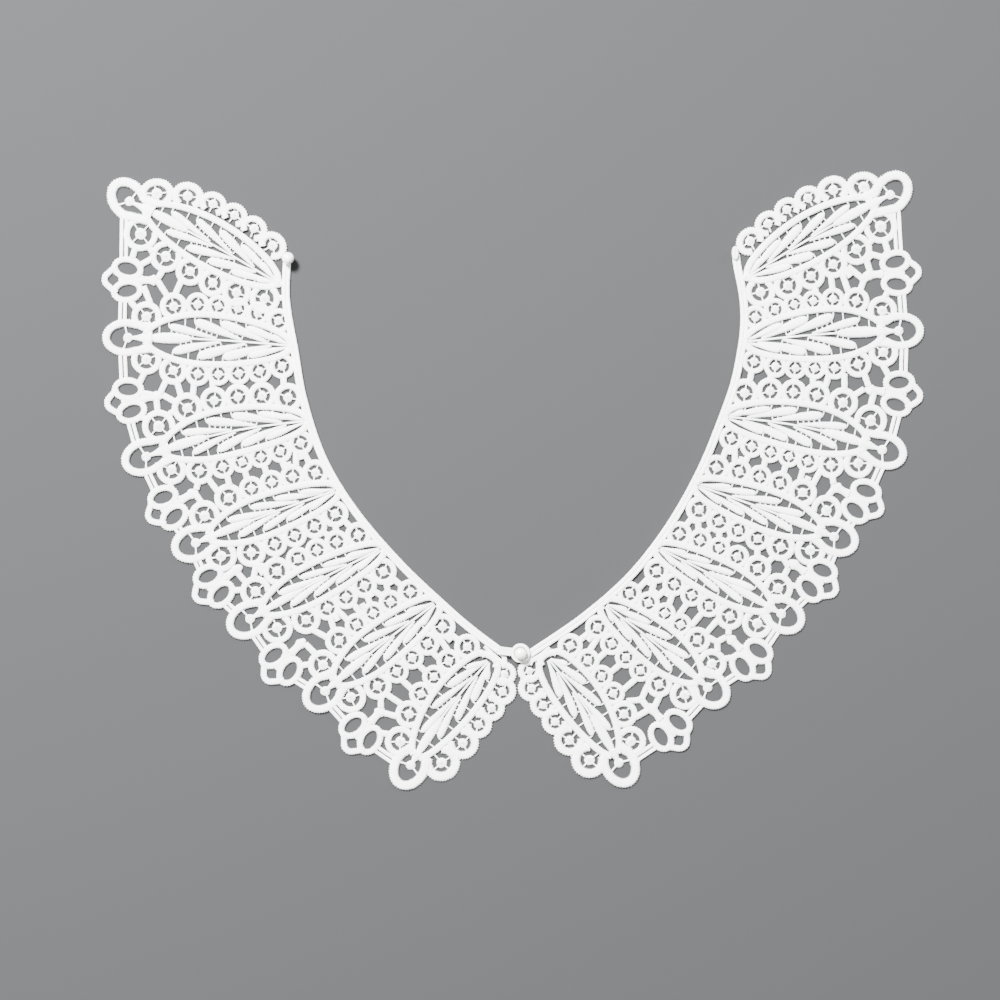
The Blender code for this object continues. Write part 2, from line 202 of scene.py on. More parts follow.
@dataclass(frozen=True)
class Strand:
    """How one kind of strand is stitched, in millimetres."""

    width: float
    height: float
    section: Section = Section.CORD
    stitch: float = 1.0
    serration: float = 0.05
    wander: float = 0.03
    low: float = 0.05


class Needlework:
    """Strands and knots gathered into one mesh."""

    def __init__(self, seed: int) -> None:
        """Start with nothing stitched.

        Args:
            seed: the seed of the small unevenness in the stitching.
        """
        self.chance = np.random.default_rng(seed)
        self.points: list[Array] = []
        self.faces: list[Array] = []
        self.maps: list[Array] = []
        self.count = 0

    def _gather(self, points: Array, faces: Array, maps: Array) -> None:
        """Keep points, the faces on them (a fourth corner of -1 marks a triangle) and stitch coordinates."""
        self.points.append(points)
        self.faces.append(np.where(faces < 0, -1, faces + self.count))
        self.maps.append(maps)
        self.count += len(points)

    def strand(
        self, path: Path, kind: Strand, low: float = 0.0, shape: Sequence[float] | None = None
    ) -> None:
        """Stitch one strand along a path.

        Args:
            path: its middle line.
            kind: how it is stitched.
            low: how far its underside is raised above the kind's own.
            shape: its relative width at even steps from its start to its end, if it isn't even.
        """
        points, tangents, s = path.stepped(kind.stitch / 2)
        count = len(points)
        section = np.array(kind.section.value)
        ring = len(section)
        beat = np.where(np.arange(count) % 2 == 0, 1.0, -1.0)
        loose = self.chance.normal(0.0, kind.wander, count)
        width = 1 + beat * kind.serration + loose
        height = 1 + beat * kind.serration * 0.6 + loose * 0.5
        if shape is not None:
            swell = np.interp(s / path.length, np.linspace(0, 1, len(shape)), shape)
            width = width * swell
            height = height * np.sqrt(swell)
        side = section[None, :, 0] * (width * kind.width / 2)[:, None]
        up = kind.low + low + section[None, :, 1] * (height * kind.height)[:, None]
        plan = points[:, None, :] - quarter_turn_right(tangents)[:, None, :] * side[:, :, None]
        solid = np.concatenate([plan, up[:, :, None]], axis=2).reshape(-1, 3)
        rows = count if path.closed else count - 1
        i, j = (grid.ravel() for grid in np.meshgrid(np.arange(rows), np.arange(ring), indexing="ij"))
        i_next, j_next = (i + 1) % count, (j + 1) % ring
        faces = np.stack([i * ring + j, i_next * ring + j, i_next * ring + j_next, i * ring + j_next], axis=1)
        along = np.append(s, path.length)
        v = np.append(section[:, 0], section[0, 0]) * kind.width / 2
        corners = ((i, j), (i + 1, j), (i + 1, j + 1), (i, j + 1))
        maps = np.stack([np.stack([along[a], v[b]], axis=1) for a, b in corners], axis=1)
        if not path.closed:
            j, last = np.arange(ring), (count - 1) * ring
            none = np.full(ring, -1)
            solid = np.vstack([solid, solid[:ring].mean(axis=0), solid[last:].mean(axis=0)])
            start = np.stack([j, (j + 1) % ring, np.full(ring, count * ring), none], axis=1)
            end = np.stack([last + (j + 1) % ring, last + j, np.full(ring, count * ring + 1), none], axis=1)
            faces = np.vstack([faces, start, end])
            maps = np.concatenate([maps, np.zeros((2 * ring, 4, 2))])
        self._gather(solid, faces, maps)

    def bar(
        self, ends: Sequence[Array], kind: Strand, low: float = 0.0, shape: Sequence[float] | None = None
    ) -> None:
        """Stitch one straight strand between two points."""
        self.strand(Path(np.array(ends)), kind, low, shape)

    def knot(self, centre: Array, radius: float, height: float) -> None:
        """Stitch a small domed knot.

        Args:
            centre: its middle in plan.
            radius: its radius in plan.
            height: how high it stands.
        """
        around, low, tiers = KNOT_SIDES, KNOT_LOW, KNOT_TIERS
        turn = self.chance.uniform(0, 2 * math.pi)
        angle = np.linspace(0, 2 * math.pi, around, endpoint=False) + turn
        lumps = 1 + self.chance.normal(0.0, 0.035, around)
        rows = []
        for out, up in tiers:
            plan = np.stack([np.cos(angle) * out * lumps, np.sin(angle) * out * lumps], axis=1) * radius
            rows.append(np.column_stack([centre + turned(plan, turn), np.full(around, low + up * height)]))
        rows.append(np.array([[centre[0], centre[1], low + height * 0.96], [centre[0], centre[1], low]]))
        solid = np.vstack(rows)
        faces, j = [], np.arange(around)
        nxt = (j + 1) % around
        for tier in range(len(tiers) - 1):
            a, b = tier * around, (tier + 1) * around
            faces.append(np.stack([a + j, a + nxt, b + nxt, b + j], axis=1))
        top, none = (len(tiers) - 1) * around, np.full(around, -1)
        faces.append(np.stack([top + j, top + nxt, np.full(around, len(solid) - 2), none], axis=1))
        faces.append(np.stack([nxt, j, np.full(around, len(solid) - 1), none], axis=1))
        faces = np.vstack(faces)
        plan = solid[:, :2] - centre
        sweep = np.arctan2(plan[:, 1], plan[:, 0]) * radius
        polar = np.stack([sweep, np.hypot(plan[:, 0], plan[:, 1])], axis=1)
        self._gather(solid, faces, polar[faces])

    def mesh(self, name: str, settle: Settle) -> bpy.types.Mesh:
        """Make the mesh in metres.

        Args:
            name: its name.
            settle: the function that takes points of the plan to their places in the frame, and
                says whether it turned them over.

        Returns:
            The mesh, with the stitch coordinates in a UV map called Stitch.
        """
        points, flipped = settle(np.vstack(self.points))
        faces = np.vstack(self.faces)
        maps = np.vstack(self.maps)
        sizes = np.where(faces[:, 3] < 0, 3, 4)
        if flipped:
            quads = sizes == 4
            for table in (faces, maps):
                table[quads] = table[quads][:, [0, 3, 2, 1]]
                table[~quads] = table[~quads][:, [0, 2, 1, 3]]
        corner = np.arange(4)[None, :] < sizes[:, None]
        mesh = bpy.data.meshes.new(name)
        mesh.vertices.add(len(points))
        mesh.vertices.foreach_set("co", (points * MM).astype(np.float32).ravel())
        mesh.loops.add(int(sizes.sum()))
        mesh.loops.foreach_set("vertex_index", faces[corner].astype(np.int32))
        mesh.polygons.add(len(faces))
        starts = np.concatenate([[0], np.cumsum(sizes)[:-1]]).astype(np.int32)
        mesh.polygons.foreach_set("loop_start", starts)
        layer = mesh.uv_layers.new(name="Stitch")
        mesh.update(calc_edges=True)
        layer.data.foreach_set("uv", maps[corner].astype(np.float32).ravel())
        mesh.shade_smooth()
        mesh.validate()
        return mesh


# ---------------------------------------------------------------- the plan of one half


@dataclass(frozen=True)
class LeafRow:
    """One leaf of the plan: where it starts on the neck edge, where it ends, and its fullness."""

    neck_at: float
    stand_off: float
    end_x: float
    end_y: float
    half_width: float
    bow: float
    back_rings: int
    front_rings: int
    base_share: float
    widest_at: float
    loop_turn: float


@dataclass(frozen=True)
class RowKind:
    """A row of rings: where it starts and how far short it stops, and how its rings are made."""

    first_at: float = -0.8
    stop_short: float = 0.0
    last_share: float = 1.0
    lift: float = 1.25
    squash: float = 1.0
    cord_share: float = 0.52
    narrowest: float = 1.9
    broadest: float = 2.7
    fullness: float = 1.0
    tip_power: float = 0.5


@dataclass(frozen=True)
class FanRow:
    """One fan of the plan: its slide towards the next leaf, and its move away from the neck."""

    slide: float
    out: float


NECK_EDGE = (
    (-93.4, 94.0), (-93.8, 76.0), (-90.3, 55.1), (-86.5, 34.2), (-78.5, 10.2),
    (-65.4, -11.5), (-46.5, -33.6), (-25.8, -53.2), (-14.6, -62.6), (-2.6, -71.5),
)
LEAVES = (
    LeafRow(10.9, 2.4, -170.7, 122.5, 9.7, 1.0, 6, 6, 0.03, 0.52, -0.42),
    LeafRow(37.0, 0.0, -172.8, 60.1, 10.5, 1.2, 7, 7, 0.05, 0.60, 0.0),
    LeafRow(69.0, 0.0, -164.4, 6.3, 9.7, 3.4, 6, 7, 0.12, 0.60, 0.0),
    LeafRow(100.0, 0.0, -143.4, -30.2, 8.4, 0.8, 6, 6, 0.20, 0.60, 0.0),
    LeafRow(130.5, 0.0, -119.9, -63.4, 7.8, 0.9, 6, 6, 0.22, 0.60, 0.0),
    LeafRow(162.5, 0.0, -87.2, -95.3, 8.8, 0.9, 6, 6, 0.26, 0.60, 0.0),
    LeafRow(194.5, 4.3, -48.6, -128.8, 9.1, 2.2, 6, 6, 0.44, 0.42, 0.0),
)
FANS = tuple(
    FanRow(slide, out)
    for slide, out in ((4.6, -0.2), (0.9, 2.4), (2.3, 1.6), (-0.4, 3.1), (0.8, 3.5), (-0.8, 2.4))
)
BOUND_ROW = RowKind()
FREE_BACK_ROW = RowKind(-2.0, 5.0, 1.0, 2.2, 0.76, 0.58, 2.6, 3.2, 1.12, 0.78)
FREE_FRONT_ROW = RowKind(0.8, 0.0, 0.78, 2.15, 0.95, 0.66, 2.6, 3.9)
RIGHT_EASE = ((0.0, -1.6), (38.0, 3.3), (84.0, 0.1), (148.0, 3.5), (206.0, 0.0))
RIGHT_DRAWN_IN = (2.6, 0.8, 0.8, 0.8, 0.8, 0.8, 3.2)
RIGHT_TURN = math.radians(1.0)
MEETING_X = 1.45
MEETING_GAP = 0.3
BAND_WIDTH = 3.4
WAVE_HEIGHT = 0.14
SIDE_STEPS = 56
RING_STEPS = 40

# How the size of the rings changes down a row, up to the row's own last one.
RING_SPREAD_AT = (0.0, 0.17, 0.36, 0.55, 0.8, 1.0)
RING_SPREAD = (1.24, 1.11, 0.94, 0.89, 0.94)

# Where a tip loop joins its leaf's blade, and how far a fan's lobes lie from its middle.
LOOP_JOINS_AT = 0.955
LOBE_APART = 4.7

# How the net opens: shares of its pitch, by how far it lies from the neck.
NET_FROM_NECK = (8.0, 50.0)
NET_PITCH_SHARES = (0.86, 1.45)


@dataclass(frozen=True)
class RingPlan:
    """One ring of a row: its middle, half the pitch to its neighbour, and the way out from the leaf."""

    centre: Array
    radius: float
    outward: Array
    kind: RowKind
    hole_share: float = 0.67

    @property
    def free(self) -> bool:
        """Whether it stands on a free edge."""
        return self.kind is not BOUND_ROW

    @property
    def cord(self) -> float:
        """The width of its cord, broader along a free edge."""
        return min(max(self.kind.cord_share * self.radius, self.kind.narrowest), self.kind.broadest)

    @property
    def lift(self) -> float:
        """How far its middle lies outside the middle of the leaf's outline."""
        return self.kind.lift + self.half_out - self.cord / 2

    @property
    def half_along(self) -> float:
        """Half the width of its cord's middle line, along the row."""
        return self.hole_share * self.radius + self.cord / 2

    @property
    def half_out(self) -> float:
        """Half the depth of its cord's middle line, away from the leaf."""
        return self.hole_share * self.radius * self.kind.squash + self.cord / 2

    def line(self, turn: float) -> Path:
        """Run its cord's middle line, as an arc whose ends lie towards the leaf.

        Args:
            turn: how far it runs each way from its outermost point, in radians.

        Returns:
            The arc.
        """
        angle = np.linspace(-turn, turn, RING_STEPS)[:, None]
        along = -quarter_turn_right(self.outward)
        depth = self.outward * self.half_out * np.cos(angle)
        return Path(self.centre + depth + along * self.half_along * np.sin(angle))


@dataclass
class LeafPlan:
    """The lines of one leaf: its bent axis, its two sides and its tip loop."""

    row: LeafRow
    neck: Path
    drawn_in: float
    free_back: bool
    free_front: bool
    tip_share: float = 0.23
    tip_taper: float = 0.985
    free_base_share: float = 0.84
    side_last: float = -0.01
    free_last: float = -0.10
    base_power: float = 0.5
    base_lap: float = 0.4
    ring_room: float = 2.2
    loop_half_long: float = 10.0
    base: Array = field(init=False)
    direction: Array = field(init=False)
    length: float = field(init=False)

    def __post_init__(self) -> None:
        """Work out where the leaf starts and which way it runs."""
        across = BAND_WIDTH - self.base_lap + self.row.stand_off
        self.base = self.neck.beside(self.row.neck_at, across)
        run = np.array([self.row.end_x + self.drawn_in, self.row.end_y]) - self.base
        self.direction = unit(run)
        self.length = float(np.linalg.norm(run))

    @property
    def blade(self) -> float:
        """The length of the blade, from the neck band to the tip loop."""
        return self.length * (1 - self.tip_share)

    def axis(self, u: float) -> Array:
        """Read the axis at a length u from the base."""
        bend = self.row.bow * math.sin(math.pi * min(max(u / self.length, 0.0), 1.0))
        return self.base + self.direction * u + quarter_turn_right(self.direction) * bend

    def axis_heading(self, u: float) -> Array:
        """Read the direction of the axis, from the base to the tip."""
        return unit(self.axis(u + 0.5) - self.axis(u - 0.5))

    def spot(self, u: float, across: float) -> Array:
        """Read the point at a length u along the axis and a distance across it, positive to the back."""
        return self.axis(u) + quarter_turn_right(self.axis_heading(u)) * across

    def half_width(self, t: float, base_share: float | None = None, tip_power: float = 0.5) -> float:
        """Read half the blade's width.

        Args:
            t: how far along the blade, from 0 at its base to 1 at its tip.
            base_share: its half width at the base as a share of its fullest, if it isn't the leaf's own.
            tip_power: how pointed its tip is.

        Returns:
            Half the width.
        """
        widest_at = self.row.widest_at
        if t < widest_at:
            share = self.row.base_share if base_share is None else base_share
            rise = math.sin(math.pi / 2 * max(t, 0.0) / widest_at) ** self.base_power
            swell = share + (1 - share) * rise
        else:
            past = (t - widest_at) / (1 - widest_at)
            swell = math.cos(math.pi / 2 * past * self.tip_taper) ** tip_power
        return self.row.half_width * swell

    def side(self, sign: int) -> Path:
        """Run down one side of the blade, from tip to base: 1 for the back's side, -1 for the front's."""
        shares = np.linspace(1.0, self.side_last, SIDE_STEPS)
        return Path(np.array([self.spot(t * self.blade, sign * self.half_width(t)) for t in shares]))

    def row_line(self, sign: int) -> Path:
        """Run the line that a row of rings follows: the leaf's side, or a fuller one along a free edge.

        Args:
            sign: 1 for the side towards the back, -1 for the side towards the front.

        Returns:
            The row's line, from tip to base.
        """
        kind = self.row_kind(sign)
        base, last = None, self.side_last
        if kind is FREE_FRONT_ROW:
            base, last = self.free_base_share, self.free_last
        shares = np.linspace(1.0, last, SIDE_STEPS)
        reach = [(t * self.blade, self.half_width(t, base, kind.tip_power)) for t in shares]
        return Path(np.array([self.spot(u, sign * kind.fullness * half) for u, half in reach]))

    def row_kind(self, sign: int) -> RowKind:
        """Say how the row of rings on one side is made."""
        if sign > 0 and self.free_back:
            return FREE_BACK_ROW
        return FREE_FRONT_ROW if sign < 0 and self.free_front else BOUND_ROW

    def row_stop(self, path: Path, sign: int) -> float:
        """Find how far down a side its row of rings can run before it meets the neck band.

        Args:
            path: the side's line.
            sign: 1 for the side towards the back, -1 for the side towards the front.

        Returns:
            The length along the side.
        """
        neck = self.neck.at(np.linspace(0, self.neck.length, 120))
        s = path.length
        while s > path.length * 0.7:
            middle = path.at(s) + quarter_turn_right(path.heading(s)) * -sign * self.ring_room
            if np.linalg.norm(neck - middle, axis=1).min() > BAND_WIDTH:
                break
            s -= 0.5
        return s

    def rings(self, sign: int) -> list[RingPlan]:
        """Place the rings down one side, each touching the next, the largest at the tip.

        Args:
            sign: 1 for the side towards the back, -1 for the side towards the front.

        Returns:
            The rings.
        """
        count = self.row.back_rings if sign > 0 else self.row.front_rings
        path, row = self.row_line(sign), self.row_kind(sign)
        spread = (*RING_SPREAD, row.last_share)
        shares = np.interp(np.linspace(0, 1, count), RING_SPREAD_AT, spread)
        room = self.row_stop(path, sign) - row.stop_short - row.first_at
        radii = shares * room / (2 * shares.sum())
        s, rings = row.first_at, []
        for radius in radii:
            s += radius
            outward = quarter_turn_right(path.heading(s)) * -sign
            ring = RingPlan(path.at(s), float(radius), outward, row)
            centre = ring.centre + outward * ring.lift
            centre[0] = min(centre[0], MEETING_X - MEETING_GAP - ring.half_out - ring.cord / 2)
            rings.append(RingPlan(centre, float(radius), outward, row))
            s += radius
        return rings

    def loop_centre(self) -> Array:
        """Read the middle of the tip loop."""
        return self.axis(self.length - self.loop_half_long)

    def loop_heading(self) -> Array:
        """Read the direction of the tip loop's long axis."""
        return turned(self.axis_heading(self.length - self.loop_half_long), self.row.loop_turn)


def circle_middle(a: Array, b: Array, c: Array) -> Array:
    """Find the middle of the circle through three points."""
    sides = np.array([b - a, c - a])
    return a + np.linalg.solve(sides + np.eye(2) * 1e-9, (sides**2).sum(axis=1) / 2)


def away_from(points: Array, line: Array) -> Array:
    """Measure how far each point is from the nearest point of a dense line."""
    return np.linalg.norm(points[:, None, :] - line[None, :, :], axis=2).min(axis=1)


def fan_frame(row: FanRow, loop: Array, next_loop: Array) -> tuple[Array, Array, Array]:
    """Place a fan between two tip loops.

    Args:
        row: the fan's row of the plan.
        loop: the middle of the tip loop behind it.
        next_loop: the middle of the tip loop in front of it.

    Returns:
        The fan's middle, the way along the edge and the way out.
    """
    along = unit(next_loop - loop)
    out = quarter_turn_right(along)
    return (loop + next_loop) / 2 + along * row.slide + out * row.out, along, out


@dataclass
class NetGround:
    """The open ground between the facing rows of two leaves, where the net is worked."""

    leaf: LeafPlan
    after: LeafPlan
    fan: FanRow
    rings: list[RingPlan] = field(init=False)
    lines: Array = field(init=False)
    neck: Array = field(init=False)
    chord: tuple[Array, Array] = field(init=False)
    blades: list[tuple[Array, Array]] = field(init=False)
    blade_share: float = 0.9
    outline_half: float = 1.45
    loop_reach: float = 8.6
    lobe_reach: float = 5.6
    stem_long: float = 13.5
    stem_half: float = 1.5
    grid_step: float = 0.6
    past_loops: float = 0.5
    least_room: float = 0.5
    bite: float = 0.7

    def __post_init__(self) -> None:
        """Gather what borders the ground."""
        shares = np.linspace(0, 1, 60)
        self.blades = [
            (
                np.array([leaf.axis(leaf.blade * t) for t in shares]),
                np.array([leaf.half_width(t) * self.blade_share for t in shares]),
            )
            for leaf in (self.leaf, self.after)
        ]
        self.rings = self.leaf.rings(-1) + self.after.rings(1)
        sides = [self.leaf.side(-1), self.after.side(1)]
        self.lines = np.vstack([side.at(np.linspace(0, side.length, 160)) for side in sides])
        path = self.leaf.neck
        self.neck = path.at(np.linspace(0, path.length, 400))
        self.chord = self.leaf.loop_centre(), self.after.loop_centre()

    def clearance(self, points: Array) -> Array:
        """Measure how far points lie from the cords and leaves round the ground.

        It is below zero inside one of them.

        Args:
            points: the points, one in each row.

        Returns:
            The clearance of each.
        """
        room = away_from(points, self.lines) - self.outline_half
        for axis, halves in self.blades:
            gaps = np.linalg.norm(points[:, None, :] - axis[None, :, :], axis=2) - halves[None, :]
            room = np.minimum(room, gaps.min(axis=1))
        room = np.minimum(room, away_from(points, self.neck) - BAND_WIDTH)
        for ring in self.rings:
            offset = points - ring.centre
            room = np.minimum(room, np.linalg.norm(offset, axis=1) - ring.half_out - ring.cord / 2)
        for centre in self.chord:
            room = np.minimum(room, np.linalg.norm(points - centre, axis=1) - self.loop_reach)
        middle, along, out = fan_frame(self.fan, *self.chord)
        stem = middle + np.linspace(0.0, -self.stem_long, 28)[:, None] * out
        room = np.minimum(room, away_from(points, stem) - self.stem_half)
        for sign in (-1, 1):
            lobe = middle + along * sign * LOBE_APART
            room = np.minimum(room, np.linalg.norm(points - lobe, axis=1) - self.lobe_reach)
        return room

    def inside(self, points: Array) -> Array:
        """Say which points lie between the two leaves and inside the collar's edge."""
        gaps = np.linalg.norm(points[:, None, :] - self.neck[None, :, :], axis=2)
        nearest = gaps.argmin(axis=1).clip(1, len(self.neck) - 2)
        heading = self.neck[nearest + 1] - self.neck[nearest - 1]
        outside = ((points - self.neck[nearest]) * quarter_turn_right(heading)).sum(axis=1) > 0
        front = outside & ((points - self.leaf.base) @ quarter_turn_right(self.leaf.direction) < 0)
        back = (points - self.after.base) @ quarter_turn_right(self.after.direction) > 0
        out = fan_frame(self.fan, *self.chord)[2]
        return front & back & ((points - self.chord[0]) @ out < self.past_loops)

    def holes(self, pitch: float) -> Array:
        """Place the net's holes, the roomiest spots first.

        Args:
            pitch: how near two holes may be.

        Returns:
            The middles of the holes.
        """
        low, high = self.lines.min(axis=0) - 8, self.lines.max(axis=0) + 8
        axes = [np.arange(low[k], high[k], self.grid_step) for k in range(2)]
        grid = np.stack(np.meshgrid(*axes), axis=-1).reshape(-1, 2)
        grid = grid[self.inside(grid)]
        room = self.clearance(grid)
        grid, room = grid[room > self.least_room], room[room > self.least_room]
        near = pitch * np.interp(away_from(grid, self.neck), NET_FROM_NECK, NET_PITCH_SHARES)
        chosen: list[Array] = []
        spread = np.full(len(grid), 1e3)
        while len(grid):
            score = np.minimum(np.minimum(room * 2.0 + 1.0, spread), 2.2 * near) / near
            best = int(np.argmax(np.where(spread >= near, score, -1)))
            if spread[best] < near[best]:
                break
            chosen.append(grid[best])
            spread = np.minimum(spread, np.linalg.norm(grid - grid[best], axis=1))
        return np.array(chosen)

    def march(self, start: Array, way: Array, reach: float) -> Array:
        """Walk from a point until a cord is well reached.

        Args:
            start: where the walk starts.
            way: its direction.
            reach: how far it may go.

        Returns:
            Where it ends.
        """
        stops = np.arange(0.0, reach + 0.01, 0.2)
        points = start + stops[:, None] * way
        hit = np.nonzero(self.clearance(points) < -self.bite)[0]
        return points[hit[0]] if len(hit) else points[-1]


def eased(s: float) -> float:
    """Read how far the right half's neck edge lies outside the left one's, at length s."""
    at, out = zip(*RIGHT_EASE)
    k = min(max(int(np.searchsorted(at, s)), 1), len(at) - 1)
    share = (1 - math.cos(math.pi * min(max((s - at[k - 1]) / (at[k] - at[k - 1]), 0.0), 1.0))) / 2
    return out[k - 1] + (out[k] - out[k - 1]) * share


class Side(Enum):
    """The two halves of the collar, as seen from above."""

    LEFT = "left"
    RIGHT = "right"


@dataclass
class HalfPlan:
    """The plan of one half, and how it settles on its solids in the frame."""

    side: Side
    neck: Path = field(init=False)
    leaves: list[LeafPlan] = field(init=False)
    shift: Array = field(init=False)

    def __post_init__(self) -> None:
        """Lay out the leaves, and find the half's place from its neck band's box."""
        self.neck = smooth_path(np.array(NECK_EDGE))
        if self.side is Side.RIGHT:
            stops = np.linspace(0, self.neck.length, 241)
            self.neck = Path(np.array([self.neck.beside(s, eased(s)) for s in stops]))
        drawn_in = RIGHT_DRAWN_IN if self.side is Side.RIGHT else (0.0,) * len(LEAVES)
        last = len(LEAVES) - 1
        self.leaves = [
            LeafPlan(row, self.neck, near, i == 0, i == last)
            for i, (row, near) in enumerate(zip(LEAVES, drawn_in))
        ]
        self.shift = np.zeros(2)
        stops = np.linspace(0, self.neck.length, 65)
        edges = np.array([self.neck.beside(s, across) for s in stops for across in (0.0, BAND_WIDTH)])
        placed = self.turn_over(edges)
        low, high = (np.array(corner)[:2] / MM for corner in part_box(f"neck_band_{self.side.value}"))
        if self.side is Side.LEFT:
            self.shift = low - placed.min(axis=0)
        else:
            self.shift = high - placed.max(axis=0)

    def turn_over(self, plan: Array) -> Array:
        """Turn points of the plan over to the right half, or leave them on the left half."""
        if self.side is Side.LEFT:
            return plan
        return turned(plan * np.array([-1.0, 1.0]), RIGHT_TURN)

    def place(self, plan: Array) -> Array:
        """Take points of the plan to their places in the frame, in millimetres."""
        return self.turn_over(plan) + self.shift

    def loop_seat(self) -> Array:
        """Read where the button loop is sewn to the band's front end, in millimetres in the frame."""
        return self.place(self.neck.beside(self.neck.length - 3.0, BAND_WIDTH / 2))

    def settle(self, solid: Array) -> tuple[Array, bool]:
        """Lay stitched points down in the frame, with the slight waviness of lace on a table.

        Args:
            solid: points of the plan with their heights, in millimetres.

        Returns:
            The points in the frame, in millimetres, and whether they were turned over.
        """
        plan = self.place(solid[:, :2])
        x, y = plan[:, 0], plan[:, 1]
        wave = 1 + 0.5 * np.sin(x / 13.0 + y / 21.0) + 0.5 * np.sin(y / 11.0 - x / 29.0 + 1.3)
        return np.column_stack([plan, solid[:, 2] + WAVE_HEIGHT * wave]), self.side is Side.RIGHT


# ---------------------------------------------------------------- finishes


class NodeBench:
    """A small helper that adds and links the nodes of one tree."""

    def __init__(self, tree: bpy.types.NodeTree) -> None:
        """Take up a node tree."""
        self.tree = tree

    def add(self, kind: str, **settings) -> bpy.types.Node:
        """Add a node and set its properties.

        Args:
            kind: the node's type name.
            settings: its properties by name.

        Returns:
            The node.
        """
        node = self.tree.nodes.new(kind)
        for key, value in settings.items():
            setattr(node, key, value)
        return node

    def link(self, source: bpy.types.NodeSocket, target: bpy.types.NodeSocket) -> None:
        """Link two sockets."""
        self.tree.links.new(source, target)

    def math(self, operation: str, a, b=None) -> bpy.types.NodeSocket:
        """Add a Math node.

        Args:
            operation: what it does.
            a: its first input, a socket or a number.
            b: its second input, if it has one.

        Returns:
            Its output socket.
        """
        node = self.add("ShaderNodeMath", operation=operation)
        for socket, value in zip(node.inputs, (a, b)):
            if isinstance(value, bpy.types.NodeSocket):
                self.link(value, socket)
            elif value is not None:
                socket.default_value = value
        return node.outputs[0]

    def group(self, tree: bpy.types.NodeTree, **values: float) -> bpy.types.Node:
        """Add a group node, with values on its inputs.

        Args:
            tree: the group.
            values: the values by the inputs' names.

        Returns:
            The node.
        """
        node = self.add("ShaderNodeGroup", node_tree=tree)
        for label, value in values.items():
            node.inputs[label].default_value = value
        return node

    def blend(self, share: bpy.types.NodeSocket, shade: Colour, light: Colour) -> bpy.types.NodeSocket:
        """Mix two colours.

        Args:
            share: the share of the light one.
            shade: the darker colour.
            light: the lighter colour.

        Returns:
            The output socket.
        """
        mix = self.add("ShaderNodeMix", data_type="RGBA")
        mix.inputs[6].default_value = (*shade, 1.0)
        mix.inputs[7].default_value = (*light, 1.0)
        self.link(share, mix.inputs[0])
        return mix.outputs[2]


def new_material(name: str) -> tuple[bpy.types.Material, NodeBench, bpy.types.Node]:
    """Start a material, and return it with a bench on its nodes and its shader node."""
    material = bpy.data.materials.new(name)
    material.use_nodes = True
    return material, NodeBench(material.node_tree), material.node_tree.nodes["Principled BSDF"]


def new_group(name: str, inputs: dict[str, tuple[str, float]], outputs: dict[str, str]) -> bpy.types.NodeTree:
    """Start a shader node group with named sockets.

    Args:
        name: the group's name.
        inputs: socket type and default value for each input.
        outputs: socket type for each output.

    Returns:
        The group, holding only its input and output nodes.
    """
    group = bpy.data.node_groups.new(name, "ShaderNodeTree")
    for label, (kind, value) in inputs.items():
        socket = group.interface.new_socket(label, in_out="INPUT", socket_type=kind)
        if kind == "NodeSocketFloat":
            socket.default_value = value
    for label, kind in outputs.items():
        group.interface.new_socket(label, in_out="OUTPUT", socket_type=kind)
    group.nodes.new("NodeGroupInput")
    group.nodes.new("NodeGroupOutput")
    return group


def satin_stitch_group() -> bpy.types.NodeTree:
    """Build the relief of satin stitching: slanted threads that meet in a herringbone at the middle.

    Returns:
        The group. Its height runs from 0 in the furrows to 1 on the threads.
    """
    number = "NodeSocketFloat"
    inputs = {label: (number, value) for label, value in (("Pitch", 0.5), ("Slant", 0.6), ("Fray", 0.3))}
    group = new_group("satin_stitch", {"Stitch": ("NodeSocketVector", 0.0), **inputs}, {"Height": number})
    bench = NodeBench(group)
    source, sink = group.nodes["Group Input"], group.nodes["Group Output"]
    split = bench.add("ShaderNodeSeparateXYZ")
    bench.link(source.outputs["Stitch"], split.inputs[0])
    across = bench.math("ABSOLUTE", split.outputs["Y"])
    slanted = bench.math("ADD", split.outputs["X"], bench.math("MULTIPLY", across, source.outputs["Slant"]))
    fray = bench.add("ShaderNodeTexNoise", noise_dimensions="2D")
    fray.inputs["Scale"].default_value = 1.6
    fray.inputs["Detail"].default_value = 3.0
    bench.link(source.outputs["Stitch"], fray.inputs["Vector"])
    wobble = bench.math("MULTIPLY", fray.outputs["Fac"], source.outputs["Fray"])
    phase = bench.math("DIVIDE", bench.math("ADD", slanted, wobble), source.outputs["Pitch"])
    wave = bench.math("SINE", bench.math("MULTIPLY", phase, 2 * math.pi))
    threads = bench.math("ADD", bench.math("MULTIPLY", wave, 0.38), 0.5)
    bench.link(bench.math("ADD", threads, bench.math("MULTIPLY", wobble, 0.4)), sink.inputs["Height"])
    return group


def cotton_tone_group() -> bpy.types.NodeTree:
    """Build the slow change of tone over bleached cotton.

    Returns:
        The group. Its tone is about 0.5, and moves either way by its Spread.
    """
    number = "NodeSocketFloat"
    group = new_group("cotton_tone", {"Size": (number, 60.0), "Spread": (number, 0.5)}, {"Tone": number})
    bench = NodeBench(group)
    source, sink = group.nodes["Group Input"], group.nodes["Group Output"]
    place = bench.add("ShaderNodeTexCoord")
    noise = bench.add("ShaderNodeTexNoise")
    noise.inputs["Detail"].default_value = 4.0
    bench.link(place.outputs["Object"], noise.inputs["Vector"])
    bench.link(source.outputs["Size"], noise.inputs["Scale"])
    centred = bench.math("SUBTRACT", noise.outputs["Fac"], 0.5)
    spread = bench.math("MULTIPLY", centred, bench.math("MULTIPLY", source.outputs["Spread"], 4.0))
    bench.link(bench.math("ADD", spread, 0.5), sink.inputs["Tone"])
    return group


